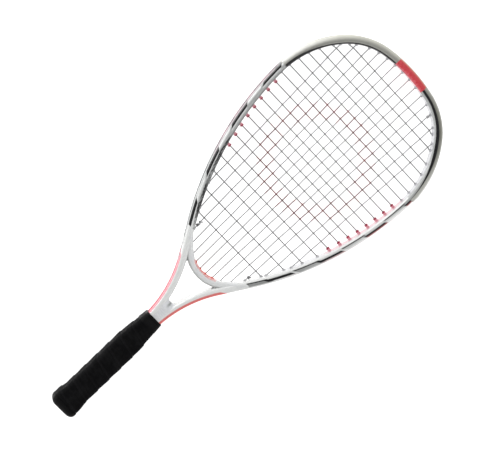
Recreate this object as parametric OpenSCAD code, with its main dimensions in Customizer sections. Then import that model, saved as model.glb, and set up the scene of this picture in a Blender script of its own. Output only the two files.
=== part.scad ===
// Junior squash racket with a teardrop head, an open throat and a wrapped grip.
// The racket lies flat: the string bed is at z = 0 and the front face looks towards +Z.
// Y runs from the middle of the butt end towards the tip, and X to the right of the head.
// A heading is an angle from +Y, clockwise, of the direction that points out of the head.
// An inset is a distance inwards from the outer wall of the frame tube.

/* [Overall] */
// Length from the butt end to the tip of the bumper
length = 533.4; // [520:0.1:545]

/* [Head outline] */
// Outer radius of the tip
tip_radius = 190; // [185:1:195]
// Heading where the tip becomes the shoulder
tip_end = 10.4; // [10:0.1:10.8]
// Outer radius of the shoulders
shoulder_radius = 78; // [76:1:80]
// Heading where the shoulder becomes the cheek
shoulder_end = 48.2; // [47:0.1:50]
// Outer radius of the cheeks, at the widest part of the head
cheek_radius = 112; // [110:1:114]
// Heading where the cheek becomes the long side
cheek_end = 91.2; // [91:0.1:91.5]
// Outer radius of the long sides
side_radius = 360; // [355:1:365]
// Heading of the straight part of each arm
side_end = 122.1; // [121.8:0.1:122.4]
// Length of the straight part of each arm
arm_straight = 40; // [38:1:42]

/* [Frame tube] */
// Width of the tube across the racket's face
tube_w = 8.4; // [8.2:0.1:8.8]
// Depth of the tube from front to back
tube_d = 17.5; // [17:0.1:18]
// Radius of the tube's corners
tube_r = 2.9; // [2.7:0.1:3]
// Thickness of the tube's wall
wall = 1.1; // [0.9:0.1:1.3]
// Width of the string channel along the outside of the tube
channel_w = 5; // [5:0.1:5.6]
// Depth of the string channel
channel_depth = 2.4; // [2.3:0.1:2.6]
// Half of the width of the shaft, where the two legs of the tube run side by side
shaft_half = 9.2; // [9.1:0.1:9.4]

/* [Throat] */
// Distance from the tip down to the string side of the bridge
bridge_drop = 317.9; // [316:0.1:320]
// Radius of the bridge's string side
bridge_radius = 35; // [33:1:37]
// Slope of the bridge's straight flanks
bridge_slope = 38; // [36:1:40]
// Depth of the bridge from front to back
bridge_d = 15.6; // [14:0.1:16.4]
// Depth of the web between the arms
web_d = 12.6; // [11:0.1:14]
// Distance from the top of the grip up to the bottom of the throat opening
web_rise = 27.1; // [26:0.1:28]
// Radius of the bottom of the throat opening
web_radius = 4; // [3.6:0.1:4.4]

/* [Bumper and grommets] */
// Thickness of the bumper over the tip
bumper_t = 1.2; // [1:0.1:1.4]
// Thickness of the bumper's lips over the front and back of the tube
lip_t = 0.8; // [0.6:0.1:1]
// How far the lips reach in from the outer wall
lip_reach = 4.4; // [4:0.1:5]
// Heading where each end of the bumper's lips stops
bumper_end = 87.5; // [86:0.1:89]
// Thickness of the strips that lie in the channel
strip_t = 1; // [0.9:0.1:1]
// Outer radius of a grommet barrel
barrel_r = 1.7; // [1.6:0.05:1.7]
// How far the plain barrels stand out inside the head
barrel_out = 1.6; // [1.2:0.1:2]
// How far the coloured side barrels stand out inside the head
side_barrel_out = 4.4; // [4:0.1:4.6]
// Radius of the head on a single grommet
grommet_head_r = 2.3; // [2.1:0.1:2.4]

/* [Strings] */
// Radius of a string
string_r = 0.6; // [0.55:0.01:0.62]
// Main strings on each side of the middle
mains = 7; // [7:7]
// Distance between the inner main strings at the head
main_pitch = 10.9; // [10.7:0.1:11]
// Distance between the two outer main strings of each side at the head
outer_main_pitch = 13; // [12.8:0.1:13]
// Share of its distance from the middle that a main string loses in each millimetre down the head
main_lean = 0.00090; // [0.00088:0.00001:0.00092]
// How much less the outer main strings lean, for each millimetre from the middle
lean_fade = 0.000004; // [0.0000038:0.0000001:0.0000042]
// Cross strings
crosses = 19; // [19:19]
// Distance from the tip down to the first cross string
first_cross = 31.1; // [30.8:0.1:31.4]
// Distance between the cross strings in the middle of the head
cross_pitch = 11.8; // [11.7:0.1:11.9]

/* [Grip] */
// Width of the grip
grip_w = 28.6; // [28:0.1:29.4]
// Thickness of the grip from front to back
grip_z = 25.6; // [25:0.1:26.4]
// Width of the flare at the butt
flare_w = 32; // [31:0.1:33]
// Thickness of the flare at the butt
flare_z = 28.4; // [27.6:0.1:29]
// Width of the grip's top end
top_w = 21; // [20.8:0.1:22]
// Thickness of the grip's top end
top_z = 20.2; // [20:0.1:21]
// Thickness of the wrapped grip tape
wrap_t = 1.6; // [1.4:0.1:1.8]
// Length of the taper below the grip's top end
taper = 40; // [36:1:44]

/* [Hidden] */
$fn = 48;
fit = 0.1;
touch = 0.05;
past = 3;
cross_z = -0.65;
main_z = 0.65;
bore_r = 0.85;
hole_r = 1.8;
bed_y = length - 50.4;
strip_w = channel_w - 2 * fit;
strip_floor = channel_depth - strip_t;
loop_inset = 0.2;
most_slant = 32;
bend_gap = 0.5;
seam_step = 0.01;
seam_angle = 0.1;
seam_lap = 0.2;
corner_step = 30;
slot_half = 1.8;
groove_depth = 1.6;
groove_half = 2;
slot_room = 0.6;

tube_tip = length - bumper_t;
rim = [
    [tip_radius, tip_end],
    [shoulder_radius, shoulder_end],
    [cheek_radius, cheek_end],
    [side_radius, side_end]
];
last_arc = len(rim) - 1;

function unit(heading) = [sin(heading), cos(heading)];
function heading_from(i) = i == 0 ? 0 : rim[i - 1][1];
function centre(i) =
    i == 0
        ? [0, tube_tip - tip_radius]
        : centre(i - 1) + (rim[i - 1][0] - rim[i][0]) * unit(rim[i - 1][1]);
function joint(i, inset) = centre(i) + (rim[i][0] - inset) * unit(rim[i][1]);
function arm_start(inset) = joint(last_arc, inset);
function arm_end(inset) = arm_start(inset) + arm_straight * [cos(side_end), -sin(side_end)];

arm_radius = (arm_end(0)[0] - shaft_half) / (1 - sin(side_end));
arm_centre = arm_end(0) + arm_radius * unit(side_end);
leg_top = arm_centre[1];
grip_top = leg_top + 7.8;
leg_end = 20;

// The heading of the outline at a point that lies beside arc i
function arc_heading(i, p) = atan2(p[0] - centre(i)[0], p[1] - centre(i)[1]);

// A hole follows its string, unless the tube lies too far across it: then it goes straight through the tube.
// A hit is where a string meets the inner wall: [x, y, heading of the hole, how much longer its slant makes it]
function hit(x, y, outline, string) =
    abs(outline - string) <= most_slant
        ? [x, y, string, 1 / cos(outline - string)]
        : [x, y, outline, 1];

// Where the outline at this inset meets a cross string
function cross_arc(y, inset, i = 0) = i == last_arc || y >= joint(i, inset)[1] ? i : cross_arc(y, inset, i + 1);
function cross_hit(y, inset) =
    let (i = cross_arc(y, inset))
    let (x = centre(i)[0] + sqrt(pow(rim[i][0] - inset, 2) - pow(y - centre(i)[1], 2)))
    hit(x, y, arc_heading(i, [x, y]), 90);

// A main string's distance from the middle at a height, and its heading
function head_x(i) = (min(i, 5) - 0.5) * main_pitch + max(i - 5, 0) * outer_main_pitch;
function main_slope(i) = head_x(i) * (main_lean - lean_fade * head_x(i));
function main_x(i, y) = head_x(i) - (bed_y - y) * main_slope(i);
function main_heading(i) = atan(main_slope(i));

// Where the outline at this inset meets a main string above the bed's middle
function upper_arc(x, inset, i = 0) = i == last_arc || x <= joint(i, inset)[0] ? i : upper_arc(x, inset, i + 1);
function upper_y(x, inset) =
    let (i = upper_arc(x, inset))
    centre(i)[1] + sqrt(pow(rim[i][0] - inset, 2) - pow(x - centre(i)[0], 2));
function upper_search(i, inset, y, turns) =
    turns == 0 ? y : upper_search(i, inset, upper_y(main_x(i, y), inset), turns - 1);
function upper_hit(i, inset) =
    let (y = upper_search(i, inset, bed_y, 6))
    let (x = main_x(i, y))
    hit(x, y, arc_heading(upper_arc(x, inset), [x, y]), main_heading(i));

// Where the outline at this inset meets a main string below the bed's middle
function lower_y(x, inset) =
    x >= arm_start(inset)[0]
        ? centre(last_arc)[1] - sqrt(pow(side_radius - inset, 2) - pow(x - centre(last_arc)[0], 2))
        : x >= arm_end(inset)[0]
            ? arm_start(inset)[1] + (arm_start(inset)[0] - x) * tan(side_end)
            : arm_centre[1] + sqrt(pow(arm_radius + inset, 2) - pow(arm_centre[0] - x, 2));
function lower_heading(p, inset) =
    p[0] >= arm_start(inset)[0]
        ? arc_heading(last_arc, p)
        : p[0] >= arm_end(inset)[0]
            ? side_end
            : atan2(arm_centre[0] - p[0], arm_centre[1] - p[1]);
function lower_search(i, inset, y, turns) =
    turns == 0 ? y : lower_search(i, inset, lower_y(main_x(i, y), inset), turns - 1);
function lower_hit(i, inset) =
    let (y = lower_search(i, inset, bed_y - 200, 8))
    let (x = main_x(i, y))
    hit(x, y, lower_heading([x, y], inset), main_heading(i) + 180);

// Heights of the cross strings: wider spaced at the tip, and wider and wider towards the throat
function cross_gap(k) = cross_pitch + (k <= 2 ? 2 : 0) + (k > 13 ? pow(k - 13, 1.5) : 0);
function cross_y(k) = k == 1 ? length - first_cross : cross_y(k - 1) - cross_gap(k - 1);

// The bridge's arcs share one centre
bridge_y = length - bridge_drop;
bridge_centre = [0, bridge_y + bridge_radius];
bridge_outer = bridge_radius + tube_w;
bridge_mains = 2;
throat_mains = 4;
function bridge_hit(i, radius) =
    let (y = bridge_centre[1] - sqrt(pow(radius, 2) - pow(main_x(i, bridge_y), 2)))
    [main_x(i, y), y];

// A point on the line of a hit's hole, at an inset
function along_hole(h, inset) = plain(h) + (tube_w - inset) * h[3] * unit(h[2]);
function follows(h, string) = abs(h[2] - string) < 0.01;
function plain(h) = [h[0], h[1]];
function flip(p, side) = [side * p[0], p[1]];

// First and last cross string in each grommet strip
bumper_crosses = [1, 7];
side_crosses = [8, 15];
lower_crosses = [16, 19];
function reach(k) = k >= side_crosses[0] && k <= side_crosses[1] ? side_barrel_out : barrel_out;

// Half widths of the grip, from the butt end up. The end is rounded with an arc.
butt_round = 4;
flare_end = 14;
neck = 26;
cap_end = 8;
skirt_end = 30;
skirt_t = 1.3;
pallet_end = grip_top - 12;
collar_h = 3.2;
knot_main = 5;
knot_r = 1.5;
tape_h = 9;
tape_t = 0.3;
bevel = 0.62;
bevel_lag = 0.8;
function butt_arc(half) = [
    for (a = [0 : 22.5 : 90])
        [butt_round * (1 - cos(a)), half - butt_round * (1 - sin(a))]
];
function profile(flare, grip, top, lag = 0) = concat(
    butt_arc(flare),
    [[flare_end + lag, flare], [neck + lag, grip], [grip_top - taper + lag, grip], [grip_top, top]]
);
wide = profile(flare_w / 2, grip_w / 2, top_w / 2);
thick = profile(flare_z / 2, grip_z / 2, top_z / 2);
bevelled = profile(
    (flare_w + flare_z) / 2 * bevel,
    (grip_w + grip_z) / 2 * bevel,
    (top_w + top_z) / 2 * bevel,
    bevel_lag
);

// ---- Profiles, drawn with x outwards from the head and x = 0 at the outer wall ----

// A rounded rectangle, from its lower right corner round to the upper right one
function corner(x, z, r, from) = [for (turn = [0 : corner_step : 90]) [x, z] + r * [cos(from + turn), sin(from + turn)]];
function rounded(w, d, r) = concat(
    corner(w / 2 - r, d / 2 - r, r, 0),
    corner(r - w / 2, d / 2 - r, r, 90),
    corner(r - w / 2, r - d / 2, r, 180),
    corner(w / 2 - r, r - d / 2, r, 270)
);
function shift(points, x) = [for (p = points) [p[0] + x, p[1]]];
function count(points) = [for (k = [0 : len(points) - 1]) k];

// The tube's outer and inner outlines, each with a notch around the string channel
function notch(depth, half, x) = [[x, -half], [-depth, -half], [-depth, half], [x, half]];
function tube_loop(grow) = concat(
    notch(channel_depth - grow, channel_w / 2 - grow, grow),
    shift(rounded(tube_w + 2 * grow, tube_d + 2 * grow, tube_r + grow), -tube_w / 2)
);

module tube_profile() {
    outside = tube_loop($grow);
    inside = tube_loop(-wall - $grow);
    polygon(
        concat(outside, inside),
        [count(outside), [for (k = count(inside)) len(outside) + k]]
    );
}

module strip_profile(slack = 0) {
    grow = $grow - slack;
    translate([-channel_depth - grow, -strip_w / 2 - grow])
        square([strip_t + 2 * grow, strip_w + 2 * grow]);
}

// The bumper is a U round the tube's outer wall, open at the channel, with a lining in the channel
module bumper_profile() {
    lip = tube_d / 2 + lip_t + $grow;
    wall_in = touch - $grow;
    wall_out = bumper_t + $grow;
    lining = strip_w / 2 + $grow;
    slot = slot_half - $grow;
    outer = corner(-tube_r, tube_d / 2 - tube_r, tube_r + lip_t + $grow, 0);
    inner = corner(-tube_r, tube_d / 2 - tube_r, tube_r + touch - $grow, 0);
    upper = concat(
        [[-channel_depth - $grow, 0], [-channel_depth - $grow, lining], [wall_in, lining]],
        inner,
        [[-lip_reach - $grow, tube_d / 2 + touch - $grow], [-lip_reach - $grow, lip]],
        [for (k = [len(outer) - 1 : -1 : 1]) outer[k]],
        [[wall_out, tube_d / 2 - tube_r], [wall_out, slot], [$grow - strip_floor, slot], [$grow - strip_floor, 0]]
    );
    lower = [for (k = [len(upper) - 2 : -1 : 1]) [upper[k][0], -upper[k][1]]];
    polygon(concat(upper, lower));
}

// ---- Sweeps ----

module both_sides() {
    children();
    mirror([1, 0, 0])
        children();
}

// Every second run is a hair larger in section, and the runs beside it reach a little way into its walls.
// That joins them into one solid without faces that nearly coincide.
module along_arc(i, from, to) {
    larger = i % 2;
    $grow = larger * seam_step;
    over = (1 - larger) * seam_angle;
    translate(centre(i))
        rotate(90 - to - over)
            rotate_extrude(angle = to - from + 2 * over)
                translate([rim[i][0], 0])
                    children();
}

module along_tip() {
    along_arc(0, -tip_end, tip_end)
        children();
}

module along_side(from, to) {
    for (i = [0 : last_arc]) {
        a = max(from, heading_from(i));
        b = min(to, rim[i][1]);
        if (b > a)
            along_arc(i, a, b)
                children();
    }
}

module along_arm_straight() {
    $grow = 0;
    translate(arm_start(0))
        rotate([90, 0, 90 - side_end])
            translate([0, 0, -seam_lap])
                linear_extrude(arm_straight + 2 * seam_lap)
                    children();
}

module along_arm_bend() {
    $grow = seam_step;
    translate(arm_centre)
        rotate(270 - side_end)
            rotate_extrude(angle = side_end - 90)
                translate([arm_radius, 0])
                    mirror([1, 0])
                        children();
}

module along_leg(bottom) {
    $grow = 0;
    translate([shaft_half, leg_top + seam_lap, 0])
        rotate([90, 0, 0])
            linear_extrude(leg_top + seam_lap - bottom)
                children();
}

// A round rod between two points of the XY plane, at height z
module rod(p, q, r, z) {
    run = q - p;
    translate([p[0], p[1], z])
        rotate([0, 90, atan2(run[1], run[0])])
            cylinder(h = norm(run), r = r);
}

// The same rod on the side given by its sign
module side_rod(p, q, r, z, side) {
    rod(flip(p, side), flip(q, side), r, z);
}

// A rod through the tube wall on the grommet line of a hit at the inner wall
module through(h, outer, inner, r, z, side) {
    side_rod(along_hole(h, outer), along_hole(h, inner), r, z, side);
}

// ---- Frame ----

module string_holes() {
    for (side = [-1, 1]) {
        for (k = [1 : crosses])
            through(cross_hit(cross_y(k), tube_w), -past, tube_w + past, hole_r, cross_z, side);
        for (i = [1 : mains])
            through(upper_hit(i, tube_w), -past, tube_w + past, hole_r, main_z, side);
        for (i = [bridge_mains + 1 : mains])
            through(lower_hit(i, tube_w), -past, tube_w + past, hole_r, main_z, side);
    }
}

module frame_tube() {
    color("gainsboro")
        difference() {
            union() {
                along_tip()
                    tube_profile();
                both_sides() {
                    along_side(tip_end, side_end)
                        tube_profile();
                    along_arm_straight()
                        tube_profile();
                    along_arm_bend()
                        tube_profile();
                    along_leg(leg_end)
                        tube_profile();
                }
            }
            string_holes();
        }
}

// Space taken by one arm and everything outside it
module beside_arm() {
    translate(arm_start(tube_w + fit))
        rotate([0, 0, -side_end])
            translate([-arm_straight, 0, -tube_d])
                cube([3 * arm_straight, 2 * arm_straight, 2 * tube_d]);
    translate([arm_centre[0], arm_centre[1], -tube_d])
        cylinder(h = 2 * tube_d, r = arm_radius + tube_w + fit, $fn = 144);
}

module bridge_profile(grow) {
    w = tube_w + 2 * grow;
    groove = notch(groove_depth - grow, groove_half - grow, grow);
    polygon(concat(shift(groove, tube_w / 2), rounded(w, bridge_d + 2 * grow, tube_r + grow)));
}

module throat_bridge() {
    flank = bridge_slope + 90;
    color("whitesmoke")
        difference() {
            union() {
                translate(bridge_centre)
                    rotate(-90 - bridge_slope)
                        rotate_extrude(angle = 2 * bridge_slope)
                            translate([bridge_radius + tube_w / 2, 0])
                                bridge_profile(seam_step);
                both_sides()
                    translate(bridge_centre + (bridge_radius + tube_w / 2) * unit(180 - bridge_slope))
                        rotate([-90, 0, flank - 180])
                            translate([0, 0, -seam_lap])
                                linear_extrude(arm_straight)
                                    bridge_profile(0);
            }
            both_sides()
                beside_arm();
            for (side = [-1, 1]) {
                for (i = [1 : bridge_mains])
                    side_rod(
                        plain(bridge_hit(i, bridge_radius - past)),
                        plain(bridge_hit(i, bridge_outer + past)),
                        hole_r, main_z, side
                    );
                for (i = [bridge_mains + 1 : throat_mains])
                    side_rod(
                        [main_x(i, bridge_y + arm_straight), bridge_y + arm_straight],
                        plain(lower_hit(i, tube_w)),
                        bore_r, main_z, side
                    );
            }
        }
}

module throat_web() {
    top = grip_top + web_rise;
    bottom = grip_top - 24;
    color("lightgray")
        translate([0, 0, -web_d / 2])
            linear_extrude(web_d)
                difference() {
                    translate([-shaft_half, bottom])
                        square([2 * shaft_half, top - bottom]);
                    for (side = [-1, 1]) {
                        translate(flip(arm_centre, side))
                            circle(arm_radius + tube_w + touch, $fn = 720);
                        translate([side * (shaft_half + touch) - shaft_half, bottom - past])
                            square([2 * shaft_half, leg_top - bottom + past]);
                    }
                    translate([0, top + web_radius / 3])
                        circle(web_radius);
                }
}

// ---- Bumper and grommets ----

module barrel(h, out, z, side) {
    through(h, strip_floor + touch, tube_w + out, barrel_r, z, side);
}

module barrel_bore(h, z, side) {
    through(h, -past, tube_w + 2 * past, bore_r, z, side);
}

module bumper_guard() {
    tail = arc_heading(last_arc, plain(cross_hit(cross_y(bumper_crosses[1]) - 5, 0)));
    color("tan")
        difference() {
            union() {
                along_tip()
                    bumper_profile();
                both_sides() {
                    along_side(tip_end, bumper_end)
                        bumper_profile();
                    along_side(bumper_end - 2 * seam_angle, tail)
                        strip_profile(2 * seam_step);
                }
                for (side = [-1, 1]) {
                    for (k = [bumper_crosses[0] : bumper_crosses[1]])
                        barrel(cross_hit(cross_y(k), tube_w), barrel_out, cross_z, side);
                    for (i = [1 : mains])
                        barrel(upper_hit(i, tube_w), barrel_out, main_z, side);
                }
            }
            for (side = [-1, 1]) {
                for (k = [bumper_crosses[0] : bumper_crosses[1]])
                    barrel_bore(cross_hit(cross_y(k), tube_w), cross_z, side);
                for (i = [1 : mains])
                    barrel_bore(upper_hit(i, tube_w), main_z, side);
            }
        }
}

// A strip in the channel with a barrel for each string that it guides
module grommet_strip(from, to, cross_range, main_range, out, side) {
    difference() {
        union() {
            mirror([side < 0 ? 1 : 0, 0, 0])
                along_side(from, to)
                    strip_profile();
            for (k = [cross_range[0] : cross_range[1]])
                barrel(cross_hit(cross_y(k), tube_w), out, cross_z, side);
            for (i = main_range)
                barrel(lower_hit(i, tube_w), out, main_z, side);
        }
        for (k = [cross_range[0] : cross_range[1]])
            barrel_bore(cross_hit(cross_y(k), tube_w), cross_z, side);
        for (i = main_range)
            barrel_bore(lower_hit(i, tube_w), main_z, side);
    }
}

function strip_heading(k, shift) = arc_heading(last_arc, plain(cross_hit(cross_y(k) + shift, 0)));

module side_grommet_strip(side) {
    color("crimson")
        grommet_strip(
            strip_heading(side_crosses[0], 4.5), strip_heading(side_crosses[1], -5),
            side_crosses, [], side_barrel_out, side
        );
}

module lower_grommet_strip(side) {
    color("darkgray")
        grommet_strip(
            strip_heading(lower_crosses[0], 6), side_end - 0.4,
            lower_crosses, [6, 7], barrel_out, side
        );
}

module side_grommet_strip_left() {
    side_grommet_strip(-1);
}

module side_grommet_strip_right() {
    side_grommet_strip(1);
}

module lower_grommet_strip_left() {
    lower_grommet_strip(-1);
}

module lower_grommet_strip_right() {
    lower_grommet_strip(1);
}

// A thin strip on the string side of the bridge, with a barrel for each of the four middle mains
module bridge_grommet_strip() {
    sweep = 27;
    color("orangered")
        difference() {
            union() {
                translate(bridge_centre)
                    rotate(-90 - sweep)
                        rotate_extrude(angle = 2 * sweep)
                            translate([bridge_radius - strip_t, -strip_w / 2])
                                square([strip_t - touch, strip_w]);
                for (side = [-1, 1], i = [1 : bridge_mains])
                    side_rod(
                        plain(bridge_hit(i, bridge_radius - barrel_out)),
                        plain(bridge_hit(i, bridge_outer - 2)),
                        barrel_r, main_z, side
                    );
            }
            for (side = [-1, 1], i = [1 : bridge_mains])
                side_rod(
                    plain(bridge_hit(i, bridge_radius - 2 * past)),
                    plain(bridge_hit(i, bridge_outer + past)),
                    bore_r, main_z, side
                );
        }
}

// Single headed grommets where the arms carry a main string
module arm_grommets() {
    color("darkgray")
        for (side = [-1, 1], i = [bridge_mains + 1 : 5]) {
            out = i == 5 ? barrel_out : -touch;
            h = lower_hit(i, tube_w);
            difference() {
                union() {
                    through(h, strip_floor, tube_w + out, barrel_r, main_z, side);
                    through(h, strip_floor, channel_depth - touch, grommet_head_r - main_z, main_z, side);
                }
                barrel_bore(h, main_z, side);
            }
        }
}

// ---- Strings ----

// Where a string leaves its barrel inside the head, and where it comes out in the channel
function bend(h, out) = along_hole(h, tube_w + out);
function exit(h) = along_hole(h, strip_floor - 0.2);
function loop_point(h) = along_hole(h, loop_inset);
function cross_tip(k) = cross_hit(cross_y(k), tube_w);

// The short stretch of a string inside a hole that doesn't follow it
module string_tail(h, out, z, side) {
    side_rod(bend(h, out), exit(h), string_r, z, side);
}

module main_strings() {
    color("silver")
        for (side = [-1, 1], i = [1 : mains]) {
            top = upper_hit(i, tube_w);
            low = lower_hit(i, tube_w);
            low_out = i > throat_mains ? barrel_out : touch;
            follow = follows(top, main_heading(i));
            head = follow ? exit(top) : bend(top, barrel_out + bend_gap);
            foot = i <= bridge_mains ? plain(bridge_hit(i, bridge_outer - 1.9)) : bend(low, low_out + bend_gap);
            side_rod(foot, head, string_r, main_z, side);
            if (!follow)
                string_tail(top, barrel_out, main_z, side);
            if (i > bridge_mains)
                string_tail(low, low_out, main_z, side);
        }
}

module cross_strings() {
    color("gray")
        for (k = [1 : crosses]) {
            h = cross_tip(k);
            follow = follows(h, 90);
            end = follow ? exit(h) : bend(h, reach(k) + bend_gap);
            rod([-end[0], end[1]], end, string_r, cross_z);
            if (!follow)
                for (side = [-1, 1])
                    string_tail(h, reach(k), cross_z, side);
        }
}

// The runs of string outside the frame, from one grommet to the next
module main_string_loops() {
    color("silver") {
        rod(flip(loop_point(upper_hit(1, tube_w)), -1), loop_point(upper_hit(1, tube_w)), string_r, main_z);
        for (side = [-1, 1]) {
            for (i = [2, 4, 6])
                side_rod(
                    loop_point(upper_hit(i, tube_w)), loop_point(upper_hit(i + 1, tube_w)),
                    string_r, main_z, side
                );
            for (i = [3, 5])
                side_rod(
                    loop_point(lower_hit(i, tube_w)), loop_point(lower_hit(i + 1, tube_w)),
                    string_r, main_z, side
                );
            side_rod(
                plain(bridge_hit(1, bridge_outer - 0.9)), plain(bridge_hit(2, bridge_outer - 0.9)),
                string_r, main_z, side
            );
        }
    }
}

module cross_string_loops() {
    color("gray")
        for (k = [1 : crosses - 1])
            side_rod(
                loop_point(cross_tip(k)), loop_point(cross_tip(k + 1)),
                string_r, cross_z, k % 2 == 0 ? 1 : -1
            );
}

// A knot is drawn tight against the frame, around the fifth main string
module knot(p) {
    translate([p[0], p[1], main_z])
        rotate([90, 0, 0])
            rotate_extrude()
                translate([knot_r - string_r / 2, 0])
                    circle(knot_r / 2);
}

module main_string_knots() {
    y = lower_hit(knot_main, tube_w)[1] + 6;
    color("dimgray")
        for (side = [-1, 1])
            knot([side * main_x(knot_main, y), y]);
}

module cross_string_knots() {
    top_y = upper_hit(knot_main, tube_w)[1] - 4.5;
    low_y = lower_hit(knot_main, tube_w)[1] + 8.4;
    color("dimgray") {
        knot([main_x(knot_main, top_y), top_y]);
        knot([-main_x(knot_main, low_y), low_y]);
    }
}

// ---- Handle ----

function heights(table, from, to) = concat(
    [from],
    [for (p = table) if (p[0] > from && p[0] < to) p[0]],
    [to]
);

module outline(table, inset, from, to) {
    up = [for (y = heights(table, from, to)) [lookup(y, table) - inset, y]];
    down = [for (k = [len(up) - 1 : -1 : 0]) [-up[k][0], up[k][1]]];
    polygon(concat(up, down));
}

// The grip's shape at an inset, between two heights: an eight-sided bar with a flare and a taper
module grip_form(inset, from, to) {
    intersection() {
        linear_extrude(2 * grip_w, center = true)
            outline(wide, inset, from, to);
        rotate([0, 90, 0])
            linear_extrude(2 * grip_w, center = true)
                outline(thick, inset, from, to);
        rotate([0, 45, 0])
            linear_extrude(2 * grip_w, center = true)
                outline(bevelled, inset, from, to);
        rotate([0, -45, 0])
            linear_extrude(2 * grip_w, center = true)
                outline(bevelled, inset, from, to);
    }
}

// The space that the two legs of the tube need inside the handle
module legs_slot(from, to) {
    translate([0, to, 0])
        rotate([90, 0, 0])
            linear_extrude(to - from)
                polygon(rounded(2 * (shaft_half + slot_room), tube_d + 2 * fit, tube_r));
}

screw_r = 0.7;
screw_head_r = 2;
screw_head_h = 1.4;
screw_heights = [40, 70, 100];
screw_top = grip_z / 2 - wrap_t - 0.4;

module screw_shape(grow) {
    for (y = screw_heights)
        translate([0, y, 0]) {
            translate([0, 0, screw_top - screw_head_h - grow])
                cylinder(h = screw_head_h + 2 * grow, r = screw_head_r + grow);
            translate([0, 0, -screw_top + 1])
                cylinder(h = 2 * screw_top - 2, r = screw_r + grow);
        }
}

module pallet(front) {
    color("burlywood")
        difference() {
            union() {
                grip_form(wrap_t + skirt_t + touch, cap_end + touch, skirt_end + 1);
                grip_form(wrap_t + touch, skirt_end + touch, pallet_end);
            }
            legs_slot(leg_end - 1, pallet_end + past);
            translate([-grip_w, 0, front ? -2 * grip_z + touch : -touch])
                cube([2 * grip_w, grip_top, 2 * grip_z]);
            screw_shape(touch);
            tack_shape(touch);
        }
}

module pallet_front() {
    pallet(true);
}

module pallet_back() {
    pallet(false);
}

module pallet_screws() {
    color("slategray")
        screw_shape(0);
}

tack_y = 22;
tack_r = 0.6;
tack_head_r = 2;
tack_head_h = 0.6;

// Flat-headed tacks in the four sides of the cap's skirt
module tack_shape(grow) {
    for (turn = [0 : 90 : 270]) {
        table = turn % 180 == 0 ? thick : wide;
        top = lookup(tack_y, table) - wrap_t - 0.3;
        rotate([0, turn, 0])
            translate([0, tack_y, 0]) {
                translate([0, 0, top - tack_head_h - grow])
                    cylinder(h = tack_head_h + grow + 1, r = tack_head_r + grow);
                translate([0, 0, top - skirt_t - 3])
                    cylinder(h = skirt_t + 3, r = tack_r + grow);
            }
    }
}

module butt_cap() {
    color("black")
        difference() {
            union() {
                grip_form(0, 0, cap_end);
                grip_form(wrap_t, cap_end - touch, skirt_end);
            }
            grip_form(wrap_t + skirt_t, cap_end, skirt_end + past);
            tack_shape(touch);
        }
}

module butt_cap_tacks() {
    color("silver")
        intersection() {
            tack_shape(0);
            grip_form(wrap_t + touch, cap_end, skirt_end);
        }
}

module grip_wrap() {
    top = grip_top - collar_h;
    color("black")
        difference() {
            grip_form(0, cap_end + touch, top);
            grip_form(wrap_t, cap_end - past, pallet_end);
            legs_slot(pallet_end - past, grip_top + past);
        }
}

module finishing_tape() {
    top = grip_top - collar_h;
    color("dimgray")
        difference() {
            grip_form(-tape_t - touch, top - tape_h, top);
            grip_form(-touch, top - tape_h - past, top + past);
        }
}

module grip_collar() {
    color("black")
        difference() {
            grip_form(-tape_t / 2, grip_top - collar_h + touch, grip_top);
            legs_slot(grip_top - 2 * collar_h, grip_top + past);
        }
}

frame_tube();
throat_bridge();
throat_web();
bumper_guard();
side_grommet_strip_left();
side_grommet_strip_right();
lower_grommet_strip_left();
lower_grommet_strip_right();
bridge_grommet_strip();
arm_grommets();
main_strings();
cross_strings();
main_string_loops();
cross_string_loops();
main_string_knots();
cross_string_knots();
pallet_front();
pallet_back();
pallet_screws();
butt_cap();
butt_cap_tacks();
grip_wrap();
finishing_tape();
grip_collar();
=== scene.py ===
import math

import bmesh
import bpy
from mathutils import Matrix, Vector, noise


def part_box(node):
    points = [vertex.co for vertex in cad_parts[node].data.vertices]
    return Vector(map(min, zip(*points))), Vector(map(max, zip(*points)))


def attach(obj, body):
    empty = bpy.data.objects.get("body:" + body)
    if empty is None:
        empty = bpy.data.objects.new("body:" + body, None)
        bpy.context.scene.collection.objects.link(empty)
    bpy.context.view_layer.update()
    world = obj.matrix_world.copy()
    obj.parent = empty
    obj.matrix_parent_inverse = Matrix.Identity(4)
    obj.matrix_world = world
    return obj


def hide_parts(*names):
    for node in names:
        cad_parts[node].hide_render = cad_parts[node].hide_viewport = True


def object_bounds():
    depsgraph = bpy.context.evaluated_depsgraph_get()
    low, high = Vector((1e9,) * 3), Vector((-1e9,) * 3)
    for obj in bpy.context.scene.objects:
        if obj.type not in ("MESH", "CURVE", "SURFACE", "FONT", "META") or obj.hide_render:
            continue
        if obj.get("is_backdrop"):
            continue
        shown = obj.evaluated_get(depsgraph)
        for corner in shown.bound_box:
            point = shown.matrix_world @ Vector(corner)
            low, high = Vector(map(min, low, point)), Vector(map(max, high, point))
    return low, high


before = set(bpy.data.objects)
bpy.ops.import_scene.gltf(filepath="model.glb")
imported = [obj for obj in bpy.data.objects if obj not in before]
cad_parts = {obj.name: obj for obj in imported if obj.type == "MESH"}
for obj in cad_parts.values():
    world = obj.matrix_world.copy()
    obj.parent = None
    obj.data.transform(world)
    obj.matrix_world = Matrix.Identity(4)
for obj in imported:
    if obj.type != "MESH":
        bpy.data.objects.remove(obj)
cad_low, cad_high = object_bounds()

MM = 0.001

# ---- The outline of the tube, in millimetres: the same arcs as the CAD part ----

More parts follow.
